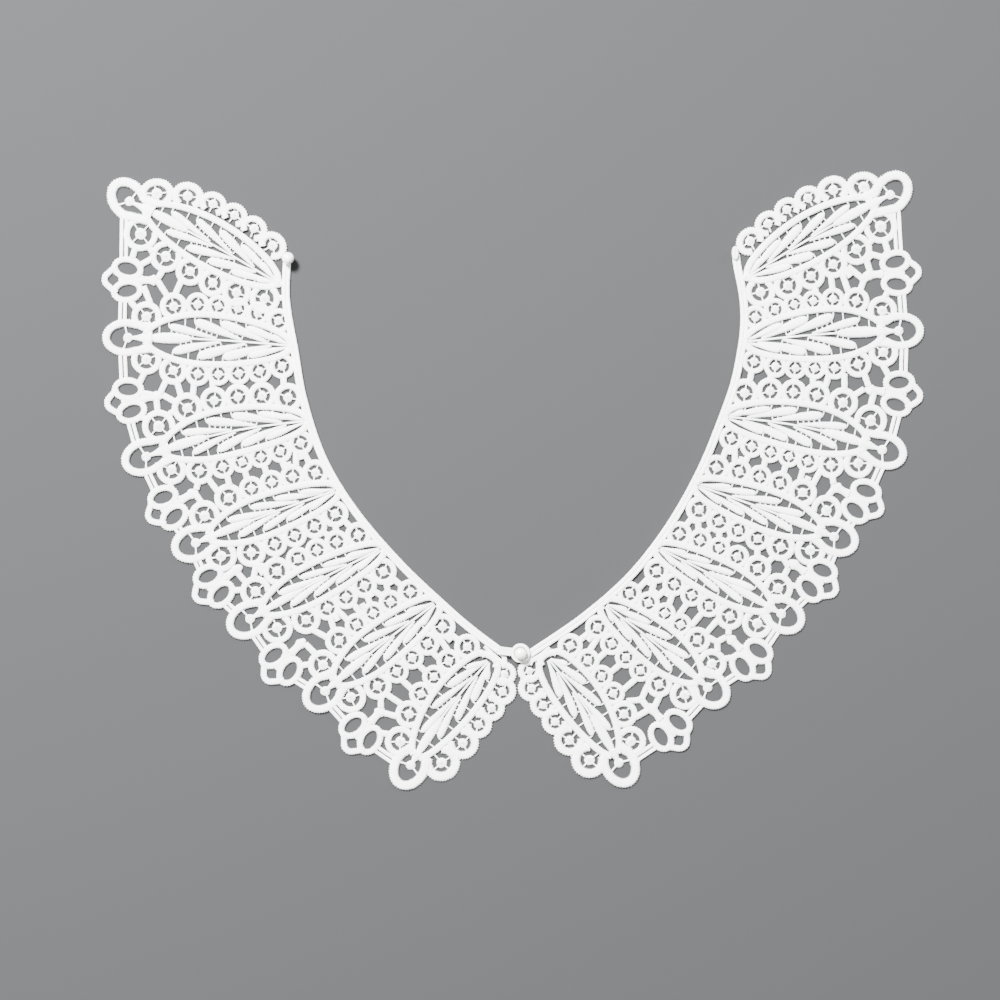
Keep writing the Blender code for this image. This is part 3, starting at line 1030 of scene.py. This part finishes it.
@dataclass(frozen=True)
class CottonFinish:
    """White cotton thread, stitched in satin stitch. Its colour holds painted shade: darker in the stitch
    furrows, lighter on the thread tops.
    """

    name: str
    # Painted shade: the colour runs from shade in the stitch furrows to light on the thread tops.
    light: Colour = (0.95, 0.95, 0.945)
    shade: Colour = (0.76, 0.76, 0.75)
    roughness: float = 0.88
    thread_smoothness: float = 0.14
    pitch: float = 0.5
    slant: float = 0.55
    depth: float = 0.0002
    relief: float = 0.8
    sheen: float = 0.25
    shine: float = 0.3

    def build(self, stitch: bpy.types.NodeTree, tone: bpy.types.NodeTree) -> bpy.types.Material:
        """Make the material.

        Args:
            stitch: the satin stitch group.
            tone: the cotton tone group.

        Returns:
            The material.
        """
        material, bench, shader = new_material(self.name)
        shader.inputs["Sheen Weight"].default_value = self.sheen
        shader.inputs["Specular IOR Level"].default_value = self.shine
        uv = bench.add("ShaderNodeUVMap", uv_map="Stitch")
        relief = bench.group(stitch, Pitch=self.pitch, Slant=self.slant)
        bench.link(uv.outputs["UV"], relief.inputs["Stitch"])
        height = relief.outputs["Height"]
        slow = bench.group(tone, Size=90.0, Spread=0.5)
        # Painted shade: the stitch relief's height darkens the colour into the furrows, on top of the
        # cotton's random tone.
        depth = bench.math("MULTIPLY", height, 0.55)
        share = bench.math("ADD", depth, bench.math("MULTIPLY", slow.outputs["Tone"], 0.6))
        bench.link(bench.blend(share, self.shade, self.light), shader.inputs["Base Color"])
        smoother = bench.math("MULTIPLY", height, self.thread_smoothness)
        bench.link(bench.math("SUBTRACT", self.roughness, smoother), shader.inputs["Roughness"])
        bump = bench.add("ShaderNodeBump")
        bump.inputs["Strength"].default_value = self.relief
        bump.inputs["Distance"].default_value = self.depth
        bench.link(height, bump.inputs["Height"])
        bench.link(bump.outputs["Normal"], shader.inputs["Normal"])
        return material


@dataclass(frozen=True)
class PearlFinish:
    """A milky bead with a soft pearly coat."""

    name: str = "milky_pearl"
    light: Colour = (0.90, 0.885, 0.86)
    shade: Colour = (0.72, 0.70, 0.685)
    roughness: float = 0.22
    coat: float = 0.8

    def build(self, tone: bpy.types.NodeTree) -> bpy.types.Material:
        """Make the material.

        Args:
            tone: the cotton tone group, here used for the pearl's clouding.

        Returns:
            The material.
        """
        material, bench, shader = new_material(self.name)
        shader.inputs["Coat Weight"].default_value = self.coat
        shader.inputs["Coat Roughness"].default_value = 0.08
        clouds = bench.group(tone, Size=320.0, Spread=0.7).outputs["Tone"]
        bench.link(bench.blend(clouds, self.shade, self.light), shader.inputs["Base Color"])
        rough = bench.math("MULTIPLY", clouds, 0.12)
        bench.link(bench.math("ADD", rough, self.roughness), shader.inputs["Roughness"])
        return material


# ---------------------------------------------------------------- the pieces


def add_piece(
    name: str, mesh: bpy.types.Mesh, finish: bpy.types.Material, slot: str, *nodes: str
) -> bpy.types.Object:
    """Add a finished piece that rides on the body and stands for its solids.

    Args:
        name: the piece's name.
        mesh: its mesh.
        finish: its material.
        slot: not used.
        nodes: the solids that it stands for.

    Returns:
        The piece.
    """
    mesh.materials.append(finish)
    piece = bpy.data.objects.new(name, mesh)
    bpy.context.scene.collection.objects.link(piece)
    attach(piece, BODY)
    if nodes:
        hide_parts(*nodes)
    mesh.calc_loop_triangles()
    LOG.info("%s: %d triangles", name, len(mesh.loop_triangles))
    return piece


# A leaflet's relative width at even steps from its rounded head to the end of its tail.
LEAFLET_SHAPE: tuple[float, ...] = (
    0.3, 0.8, 0.97, 1.04, 1.07, 1.08, 1.07, 1.04, 1.0, 0.95, 0.9,
    0.84, 0.77, 0.7, 0.63, 0.56, 0.5, 0.44, 0.38, 0.32, 0.26,
)

# The same for the leaflet at a leaf's tip, which narrows both ways.
TIP_LEAFLET_SHAPE: tuple[float, ...] = (0.35, 0.72, 0.93, 1.02, 1.05, 1.05, 1.0, 0.9, 0.72, 0.45)


@dataclass(frozen=True)
class Leaflet:
    """One leaflet: its line from its head to its tail, its width and shape, and where it sits."""

    line: Path
    width: float
    shape: tuple[float, ...]
    sign: int
    head_at: float

    def half_at(self, s: float) -> float:
        """Read half its width at length s."""
        stops = np.linspace(0, 1, len(self.shape))
        return float(np.interp(s / self.line.length, stops, self.shape)) * self.width / 2

    def holds(self, point: Array) -> bool:
        """Say whether a point lies well inside it."""
        stops = np.linspace(0, self.line.length, 30)
        gaps = np.linalg.norm(self.line.at(stops) - point, axis=1)
        nearest = int(gaps.argmin())
        return bool(gaps[nearest] < self.half_at(stops[nearest]) - 0.15)


@dataclass
class LaceHalf:
    """The lace of one half: corded outlines, and the fillings worked between them."""

    plan: HalfPlan
    seed: int
    outline: Strand = Strand(2.9, 1.05, stitch=0.95)
    ring_height: float = 0.95
    ring_turn: float = math.radians(146)
    loop_cord: Strand = Strand(3.3, 1.1, stitch=0.9, serration=0.14)
    free_loop_cord: Strand = Strand(3.9, 1.15, stitch=0.9, serration=0.14)
    loop_half_long: float = 8.3
    loop_half_wide: float = 6.2
    drop_turn: float = math.radians(118)
    fan_cord: Strand = Strand(2.6, 1.0, stitch=0.9, serration=0.13)
    lobe_splay: float = 0.2
    lobe_half_long: float = 5.5
    lobe_half_wide: float = 3.8
    apex_out: float = 8.8
    fan_stem: Strand = Strand(3.4, 0.9, Section.BLADE, stitch=0.8)
    link_cord: Strand = Strand(1.6, 0.85, stitch=0.8)
    web_cord: Strand = Strand(2.2, 0.9, stitch=0.9)
    corner_ties: tuple[tuple[float, float], ...] = ((9.0, 4.6), (6.5, 5.2))
    link_ties: tuple[float, ...] = (0.7, 2.7)
    link_from: float = 3.6
    link_to: float = 6.6
    web_reach: tuple[float, float] = (3.6, -6.0)
    stem_reach: tuple[float, float] = (-5.5, -14.0)
    shoulder: tuple[float, float] = (5.6, 4.6)
    leaflet_height: float = 0.9
    leaflet_reach: float = 20.0
    leaflet_gap: float = 0.1
    leaflet_least: float = 2.5
    leaflet_pitch: float = 10.7
    leaflet_from_tip: float = 10.6
    leaflet_from_cord: float = 1.6
    leaflet_share: float = 0.54
    leaflet_most: float = 0.37
    first_leaflet: float = 1.15
    shortest_leaflet: float = 6.0
    tip_leaflet_width: float = 4.3
    tip_leaflet_long: float = 19.0
    midrib: Strand = Strand(0.9, 0.7, Section.THREAD, stitch=0.9)
    spoke: Strand = Strand(0.65, 0.5, Section.THREAD, stitch=0.9)
    rung: Strand = Strand(0.55, 0.45, Section.THREAD, stitch=0.9)
    rung_pitch: float = 2.3
    rung_reach: float = 1.9
    head_reach: float = 3.4
    corner_reach: float = 4.0
    tip_web: Strand = Strand(2.7, 0.8, Section.BLADE, stitch=0.8)
    leg: Strand = Strand(0.9, 0.6, Section.THREAD, stitch=0.9)
    leg_long: float = 6.0
    net_cord: Strand = Strand(2.6, 0.85, Section.BLADE, stitch=0.8, serration=0.07)
    net_reach: float = 4.6
    hole_pitch: float = 4.25
    leaflets: dict[int, list[Leaflet]] = field(default_factory=dict)

    def stitch_outlines(self) -> Needlework:
        """Stitch the bold parts: the leaves with their leaflets, rings and tip loops, and the fans."""
        work = Needlework(self.seed)
        for leaf in self.plan.leaves:
            for sign in (1, -1):
                work.strand(leaf.side(sign), self.outline, low=0.10)
                for ring in leaf.rings(sign):
                    self._ring(work, ring)
            free = leaf.free_back or leaf.free_front
            work.strand(self._drop(leaf), self.free_loop_cord if free else self.loop_cord)
            work.strand(self._base_end(leaf), self.outline, low=0.10)
            self.leaflets[id(leaf)] = self._leaflets(work, leaf)
        for k, row in enumerate(FANS):
            loops = [leaf.loop_centre() for leaf in self.plan.leaves[k : k + 2]]
            self._fan(work, row, *loops)
        self._front_corner(work)
        return work

    def _front_corner(self, work: Needlework) -> None:
        """Stitch the strands that tie the band's front end to the last leaf and its last ring."""
        neck, ring = self.plan.neck, self.plan.leaves[-1].rings(-1)[-1]
        top = ring.centre + np.array([0.4, ring.half_along])
        for back, depth in self.corner_ties:
            bend = neck.beside(neck.length - back * 0.45, depth)
            line = smooth_path(np.array([neck.beside(neck.length - back, depth - 0.6), bend, top]), 8)
            work.strand(line, self.link_cord, low=0.05)
        band_end = neck.beside(neck.length - 0.8, 1.6)
        work.bar([band_end, top], self.web_cord, low=0.05)

    def _drop(self, leaf: LeafPlan) -> Path:
        """Run the tip loop's middle line: a drop that opens on the two sides of the leaf's tip."""
        angle = np.linspace(-self.drop_turn, self.drop_turn, 60)[:, None]
        heading = leaf.loop_heading()
        across = quarter_turn_right(heading)
        arc = leaf.loop_centre() + heading * self.loop_half_long * np.cos(angle)
        arc = arc + across * self.loop_half_wide * np.sin(angle)
        u = leaf.blade * LOOP_JOINS_AT
        ends = [leaf.spot(u, sign * leaf.half_width(LOOP_JOINS_AT)) for sign in (-1, 1)]
        return Path(np.vstack([ends[0], arc, ends[1]]))

    def _base_end(self, leaf: LeafPlan) -> Path:
        """Run the rounded end of the leaf's outline, at its base."""
        half = leaf.half_width(0.0)
        stops = ((0.8, half), (-0.9, half * 0.75), (-1.6, 0.0), (-0.9, -half * 0.75), (0.8, -half))
        return smooth_path(np.array([leaf.spot(u, across) for u, across in stops]), 6)

    def _ring(self, work: Needlework, ring: RingPlan) -> None:
        """Stitch the arc of one ring, with both its ends under the leaf's outline."""
        serration = 0.16 if ring.free else 0.07
        kind = Strand(ring.cord, self.ring_height, stitch=0.9, serration=serration)
        work.strand(ring.line(self.ring_turn), kind)

    def _fan(self, work: Needlework, row: FanRow, loop: Array, next_loop: Array) -> None:
        """Stitch one fan between two tip loops: two lobes, an apex, the web between them and the links."""
        middle, along, out = fan_frame(row, loop, next_loop)
        for sign, tip in ((-1, loop), (1, next_loop)):
            lobe = middle + along * sign * LOBE_APART
            axis = turned(out, sign * self.lobe_splay)
            work.strand(oval_path(lobe, axis, self.lobe_half_long, self.lobe_half_wide), self.fan_cord)
            run = unit(tip - lobe)
            for across in self.link_ties:
                near, far = lobe + run * self.link_from, tip - run * self.link_to
                work.bar([near + out * across, far + out * across], self.link_cord)
        aside, ahead = self.shoulder
        shoulders = [middle + along * sign * aside + out * ahead for sign in (-1, 1)]
        apex = [middle + along * sign * 2.0 + out * self.apex_out for sign in (-1, 1)]
        crown = middle + out * (self.apex_out + 0.7)
        crest = np.array([shoulders[0], apex[0], crown, apex[1], shoulders[1]])
        work.strand(smooth_path(crest, 8), self.fan_cord)
        web = [middle + out * reach for reach in self.web_reach]
        work.bar(web, self.web_cord, shape=(0.8, 1.2, 1.1, 1.0, 0.9))
        stem = [middle + out * reach for reach in self.stem_reach]
        work.bar(stem, self.fan_stem, shape=(1.3, 1.0, 0.9, 1.0, 1.4, 1.0, 0.4))

    def stitch_fillings(self) -> Needlework:
        """Stitch the fine parts: the wheels, the spiders, the small bars and the net."""
        work = Needlework(self.seed + 1)
        for leaf in self.plan.leaves:
            for sign in (1, -1):
                for ring in leaf.rings(sign):
                    self._wheel(work, ring)
            self._spider(work, leaf)
            self._rungs(work, leaf)
        for k, row in enumerate(FANS):
            self._net(work, NetGround(self.plan.leaves[k], self.plan.leaves[k + 1], row))
        return work

    def _net(self, work: Needlework, ground: NetGround) -> None:
        """Work the net on one ground: evenly spaced holes, and a bar between each two neighbours.

        Args:
            work: what it is stitched into.
            ground: the open ground between two leaves.
        """
        holes = ground.holes(self.hole_pitch)
        points, _, faces = geometry.delaunay_2d_cdt([Vector(hole) for hole in holes], [], [], 0, 1e-6)[:3]
        points = np.array([tuple(point) for point in points])
        middles = [circle_middle(*points[list(face)]) for face in faces]
        sharing: dict[tuple[int, int], list[int]] = {}
        for index, face in enumerate(faces):
            for a, b in zip(face, face[1:] + face[:1]):
                sharing.setdefault((min(a, b), max(a, b)), []).append(index)
        for (a, b), owners in sharing.items():
            if np.linalg.norm(points[a] - points[b]) > 3.0 * self.hole_pitch:
                continue
            middle = (points[a] + points[b]) / 2
            way = quarter_turn_right(unit(points[b] - points[a]))
            sides = sorted(float(np.dot(middles[k] - middle, way)) for k in owners)
            if len(sides) < 2:
                sides = [-self.net_reach, self.net_reach]
            ends = [
                ground.march(middle, way * sign, min(max(sign * end, 0.6), self.net_reach))
                for sign, end in zip((-1, 1), sides)
            ]
            if np.linalg.norm(ends[1] - ends[0]) > 0.8:
                work.bar(ends, self.net_cord, low=0.05)

    def _leaflets(self, work: Needlework, leaf: LeafPlan) -> list[Leaflet]:
        """Work the leaflets of one leaf down both sides of its midrib, and the one at its tip.

        Args:
            work: what they are stitched into.
            leaf: the leaf.

        Returns:
            The leaflets, the one at the tip first.
        """
        blade = leaf.blade
        rib = Path(np.array([leaf.axis(u) for u in np.linspace(1.0, blade - 5.0, 24)]))
        work.strand(rib, self.midrib, low=0.05)
        stops = np.linspace(blade - 0.8, blade - self.tip_leaflet_long, 8)
        tip = Path(np.array([leaf.axis(u) for u in stops]))
        fullest = max(row.half_width for row in LEAVES)
        width = self.tip_leaflet_width * min(leaf.row.half_width / fullest, 1.0)
        leaflets = [Leaflet(tip, width, TIP_LEAFLET_SHAPE, 0, blade)]
        for sign in (1, -1):
            u = blade - self.leaflet_from_tip + 0.9 * sign
            for k in range(9):
                top = leaf.half_width(u / blade) - self.outline.width / 2 - self.leaflet_from_cord
                reach = min(self.leaflet_reach, u - 1.0)
                if reach < self.shortest_leaflet or top < 1.8:
                    break
                most = self.leaflet_most * leaf.row.half_width
                wide = max(min(self.leaflet_share * top - self.leaflet_gap, most), self.leaflet_least)
                wide *= self.first_leaflet if k == 0 else 1.0
                spots = ((0.0, top), (0.3, top * 0.74), (0.65, top * 0.40 + 0.1), (1.0, 0.7))
                line = np.array([leaf.spot(u - reach * run, sign * off) for run, off in spots])
                leaflets.append(Leaflet(smooth_path(line, 8), wide, LEAFLET_SHAPE, sign, u))
                u -= self.leaflet_pitch
        for leaflet in leaflets:
            kind = Strand(leaflet.width, self.leaflet_height, Section.BLADE, stitch=1.05, serration=0.09)
            work.strand(leaflet.line, kind, low=0.05, shape=leaflet.shape)
        return leaflets

    def _rungs(self, work: Needlework, leaf: LeafPlan) -> None:
        """Work the small bars that hold the leaflets to each other and to the leaf's outline."""
        leaflets = self.leaflets[id(leaf)]
        for sign in (1, -1):
            row = [leaflets[0]] + [leaflet for leaflet in leaflets if leaflet.sign == sign]
            sides = leaf.side(sign)
            outline = sides.at(np.linspace(0, sides.length, 160))
            for before, leaflet in zip(row, row[1:]):
                for s in np.arange(1.6, leaflet.line.length - 1.5, self.rung_pitch):
                    way = quarter_turn_right(leaflet.line.heading(s)) * sign
                    start = leaflet.line.at(s) + way * (leaflet.half_at(s) - 0.25)
                    self._bridge(work, start, way, before, outline, self.rung_reach)
                outward = quarter_turn_right(leaf.direction) * sign
                self._bridge(work, leaflet.line.at(0.0), outward, None, outline, self.head_reach)
                corner_at = leaflet.head_at + 4.0
                room = leaf.half_width(corner_at / leaf.blade)
                corner = leaf.spot(corner_at, 0.0) + outward * (room - 1.0)
                self._bridge(work, corner, -outward, before, outline[:0], self.corner_reach)

    def _bridge(
        self,
        work: Needlework,
        start: Array,
        way: Array,
        leaflet: Leaflet | None,
        outline: Array,
        reach: float,
    ) -> None:
        """Work one small bar up to a leaflet or the leaf's outline, if either is within reach.

        Args:
            work: what it is stitched into.
            start: where it starts.
            way: its direction.
            leaflet: the leaflet that it may meet, if any.
            outline: points of the outline that it may meet.
            reach: how long it may be.
        """
        for run in np.arange(0.5, reach, 0.15):
            end = start + way * run
            met = leaflet is not None and leaflet.holds(end)
            if not met and len(outline):
                gap = np.linalg.norm(outline - end, axis=1).min()
                met = gap < self.outline.width / 2 - 0.2
            if met:
                work.bar([start, end + way * 0.25], self.rung, low=0.05)
                return

    def _wheel(self, work: Needlework, ring: RingPlan) -> None:
        """Work the wheel of one ring: a knot at its middle, held by spokes."""
        work.knot(ring.centre, 0.6 + ring.radius * 0.25, 0.75)
        start = math.atan2(ring.outward[1], ring.outward[0]) + work.chance.normal(0.0, 0.25)
        for k in range(4):
            angle = start + math.pi + k * math.pi / 2 + work.chance.normal(0.0, 0.12)
            way = np.array([math.cos(angle), math.sin(angle)])
            ends = [ring.centre + way * ring.radius * share for share in (0.25, 0.80)]
            work.bar(ends, self.spoke, low=0.1)

    def _spider(self, work: Needlework, leaf: LeafPlan) -> None:
        """Work the spider in one tip loop: a knot on three legs, the broadest from the leaf's tip."""
        centre, heading = leaf.loop_centre(), leaf.loop_heading()
        knot = centre - heading * 0.8
        work.knot(knot, 1.9, 0.8)
        web = [leaf.axis(leaf.blade * LOOP_JOINS_AT), knot]
        work.bar(web, self.tip_web, low=0.1, shape=(2.1, 2.0, 1.55, 1.05, 0.7, 0.55, 0.6))
        for angle in (math.pi / 3 + 0.15, -math.pi / 3 - 0.3):
            foot = knot + turned(heading, angle) * self.leg_long
            work.bar([knot, foot], self.leg, low=0.1, shape=(1.8, 1.0, 0.8, 1.0, 1.5))

    def build(self, cotton: bpy.types.Material) -> tuple[bpy.types.Object, bpy.types.Object]:
        """Build both pieces.

        Args:
            cotton: the lace's finish.

        Returns:
            The corded outlines, and the fillings.
        """
        side = self.plan.side.value
        cords = self.stitch_outlines().mesh(f"lace_cords_{side}", self.plan.settle)
        fillings = self.stitch_fillings().mesh(f"lace_fillings_{side}", self.plan.settle)
        outlines = add_piece(f"lace_cords_{side}", cords, cotton, "lace_cotton", f"lace_{side}")
        return outlines, add_piece(f"lace_fillings_{side}", fillings, cotton, "lace_cotton")


@dataclass
class NeckBand:
    """The band along the neck: two cords side by side, the inner one finely serrated."""

    plan: HalfPlan
    seed: int
    inner: Strand = Strand(1.8, 1.2, stitch=0.75, serration=0.08)
    outer: Strand = Strand(1.8, 1.15, stitch=0.75, serration=0.05)
    inner_at: float = 0.9
    outer_at: float = 2.5
    short_of_end: float = 0.4

    def line(self, across: float) -> Path:
        """Run a path along the neck, at a distance from the neck edge."""
        neck = self.plan.neck
        stops = np.linspace(self.short_of_end, neck.length - self.short_of_end, 240)
        return Path(np.array([neck.beside(s, across) for s in stops]))

    def build(self, cotton: bpy.types.Material) -> bpy.types.Object:
        """Build the band.

        Args:
            cotton: its finish.

        Returns:
            The piece.
        """
        work = Needlework(self.seed)
        work.strand(self.line(self.inner_at), self.inner, low=0.05)
        work.strand(self.line(self.outer_at), self.outer, low=0.05)
        side = self.plan.side.value
        mesh = work.mesh(f"neck_cord_{side}", self.plan.settle)
        return add_piece(f"neck_cord_{side}", mesh, cotton, "band_cotton", f"neck_band_{side}")


@dataclass
class ButtonLoop:
    """A cord loop for a pearl, laid on a band's end."""

    name: str
    seed: int
    node: str
    pearl: str | None
    seat: Array | None = None
    cord: Strand = Strand(1.5, 1.1, stitch=0.76, serration=0.07, low=0.0)
    tab_cord: Strand = Strand(1.25, 1.0, stitch=0.76, serration=0.08, low=0.0)

    def line(self) -> Path:
        """Lay out the cord's middle line from its solid's place, in millimetres in the frame."""
        low, high = (np.array(corner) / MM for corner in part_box(self.node))
        if self.pearl is None:
            middle, half = (low + high)[:2] / 2, (high - low)[:2] / 2
            return oval_path(middle, np.array([0.0, 1.0]), half[1] - 0.7, half[0] - 0.7)
        bead_low, bead_high = (np.array(corner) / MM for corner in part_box(self.pearl))
        centre = (bead_low + bead_high)[:2] / 2
        return oval_path(centre, np.array([1.0, 0.0]), 3.3, 3.3)

    def build(self, cotton: bpy.types.Material) -> bpy.types.Object:
        """Build the loop.

        Args:
            cotton: its finish.

        Returns:
            The piece.
        """
        work = Needlework(self.seed)
        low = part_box(self.node)[0][2] / MM
        work.strand(self.line(), self.cord, low=low)
        if self.seat is not None:
            middle = self.line().points[:-1].mean(axis=0)
            way = unit(self.seat - middle)
            for across in (-1.1, 0.0, 1.1):
                beside = quarter_turn_right(way) * across
                ends = [middle + way * 3.6 + beside, self.seat + way * (1.2 - 0.4 * abs(across)) + beside]
                work.bar(ends, self.tab_cord, low=low)
        mesh = work.mesh(self.name, lambda solid: (solid, False))
        return add_piece(self.name, mesh, cotton, "loop_cotton", self.node)


@dataclass
class PearlButton:
    """A pearl bead drilled through."""

    name: str
    node: str
    hole_radius: float = 0.35
    segments: int = 48
    tiers: int = 28

    def build(self, finish: bpy.types.Material) -> bpy.types.Object:
        """Build the bead.

        Args:
            finish: its finish.

        Returns:
            The piece.
        """
        low, high = (np.array(corner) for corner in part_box(self.node))
        centre, radius = (low + high) / 2, float((high - low)[0] / 2)
        start = math.asin(self.hole_radius * MM / radius)
        tilt = np.linspace(start, math.pi - start, self.tiers)
        profile = [(math.sin(a) * radius, math.cos(a) * radius) for a in tilt]
        dip = profile[0][1] * 0.82
        hole = [(profile[0][0] * 0.8, dip), (profile[-1][0] * 0.8, -dip)]
        profile = [(0.0, dip), hole[0], *profile, hole[1], (0.0, -dip)]
        points, faces = [], []
        for out, up in profile:
            for k in range(self.segments):
                a = 2 * math.pi * k / self.segments
                points.append((out * math.cos(a), up, out * math.sin(a)))
        for i in range(len(profile) - 1):
            for k in range(self.segments):
                after = (k + 1) % self.segments
                a, b = i * self.segments, (i + 1) * self.segments
                faces.append((a + k, a + after, b + after, b + k))
        mesh = bpy.data.meshes.new(self.name)
        mesh.from_pydata([Vector(p) + Vector(centre) for p in points], [], faces)
        mesh.validate()
        mesh.shade_smooth()
        return add_piece(self.name, mesh, finish, "pearl", self.node)


# ---------------------------------------------------------------- the studio


# The lamps: name, place in metres, side in metres, power in watts.
LAMPS = (
    ("lamp_above", (-0.7, 1.0, 1.5), 0.45, 400.0),
    ("lamp_low", (1.3, 0.9, 0.7), 0.5, 26.0),
)


@dataclass(frozen=True)
class Studio:
    """A pale floor under the collar, soft light from above, and the camera straight above."""

    lens: float = 85.0
    height: float = 0.992
    middle: tuple[float, float] = (-0.0055, -0.0082)
    floor_half: float = 1.6
    floor_tone: Colour = (0.0155, 0.0164, 0.0175)
    air: float = 0.72

    def floor(self) -> None:
        """Lay the floor."""
        half = self.floor_half
        mesh = bpy.data.meshes.new("studio_floor")
        corners = [(-half, -half, 0.0), (half, -half, 0.0), (half, half, 0.0), (-half, half, 0.0)]
        mesh.from_pydata(corners, [], [(0, 1, 2, 3)])
        material, _, shader = new_material("studio_floor")
        shader.inputs["Base Color"].default_value = (*self.floor_tone, 1.0)
        shader.inputs["Roughness"].default_value = 0.9
        mesh.materials.append(material)
        floor = bpy.data.objects.new("studio_floor", mesh)
        bpy.context.scene.collection.objects.link(floor)

    def lamp(self, name: str, place: tuple[float, float, float], size: float, power: float) -> None:
        """Hang one soft square lamp that faces the collar.

        Args:
            name: its name.
            place: where it hangs, in metres.
            size: the length of its side.
            power: its power in watts.
        """
        light = bpy.data.lights.new(name, "AREA")
        light.shape, light.size, light.energy = "SQUARE", size, power
        lamp = bpy.data.objects.new(name, light)
        lamp.location = place
        lamp.rotation_euler = (-Vector(place)).to_track_quat("-Z", "Y").to_euler()
        bpy.context.scene.collection.objects.link(lamp)

    def build(self) -> None:
        """Set up the floor, the lamps, the air's own light and the camera."""
        self.floor()
        for name, place, size, power in LAMPS:
            self.lamp(name, place, size, power)
        world = bpy.data.worlds.new("studio_air")
        world.use_nodes = True
        air = world.node_tree.nodes["Background"]
        air.inputs["Color"].default_value = (1.0, 1.0, 1.0, 1.0)
        air.inputs["Strength"].default_value = self.air
        bpy.context.scene.world = world
        lens = bpy.data.cameras.new("camera")
        lens.lens = self.lens
        camera = bpy.data.objects.new("camera", lens)
        camera.location = (*self.middle, self.height)
        bpy.context.scene.collection.objects.link(camera)
        bpy.context.scene.camera = camera


def main() -> None:
    """Build the collar in its studio."""
    logging.basicConfig(level=logging.INFO, format="%(name)s: %(message)s")
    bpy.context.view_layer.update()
    Studio().build()
    stitch, tone = satin_stitch_group(), cotton_tone_group()
    lace_cotton = CottonFinish("lace_cotton").build(stitch, tone)
    band_cotton = CottonFinish("band_cotton", pitch=0.75, slant=0.4).build(stitch, tone)
    loop_cotton = CottonFinish("loop_cotton", pitch=0.4, slant=0.8).build(stitch, tone)
    pearl = PearlFinish().build(tone)
    seat = HalfPlan(Side.LEFT).loop_seat()
    for seed, side in enumerate(Side):
        plan = HalfPlan(side)
        outlines, fillings = LaceHalf(plan, 10 + seed).build(lace_cotton)
        band = NeckBand(plan, 20 + seed).build(band_cotton)
    ButtonLoop("loop_cord_front", 30, "button_loop_front", "pearl_front", seat).build(loop_cotton)
    ButtonLoop("loop_cord_back", 31, "button_loop_back", None).build(loop_cotton)
    PearlButton("pearl_button_front", "pearl_front").build(pearl)
    PearlButton("pearl_button_back", "pearl_back").build(pearl)


if __name__ == "__main__":
    main()
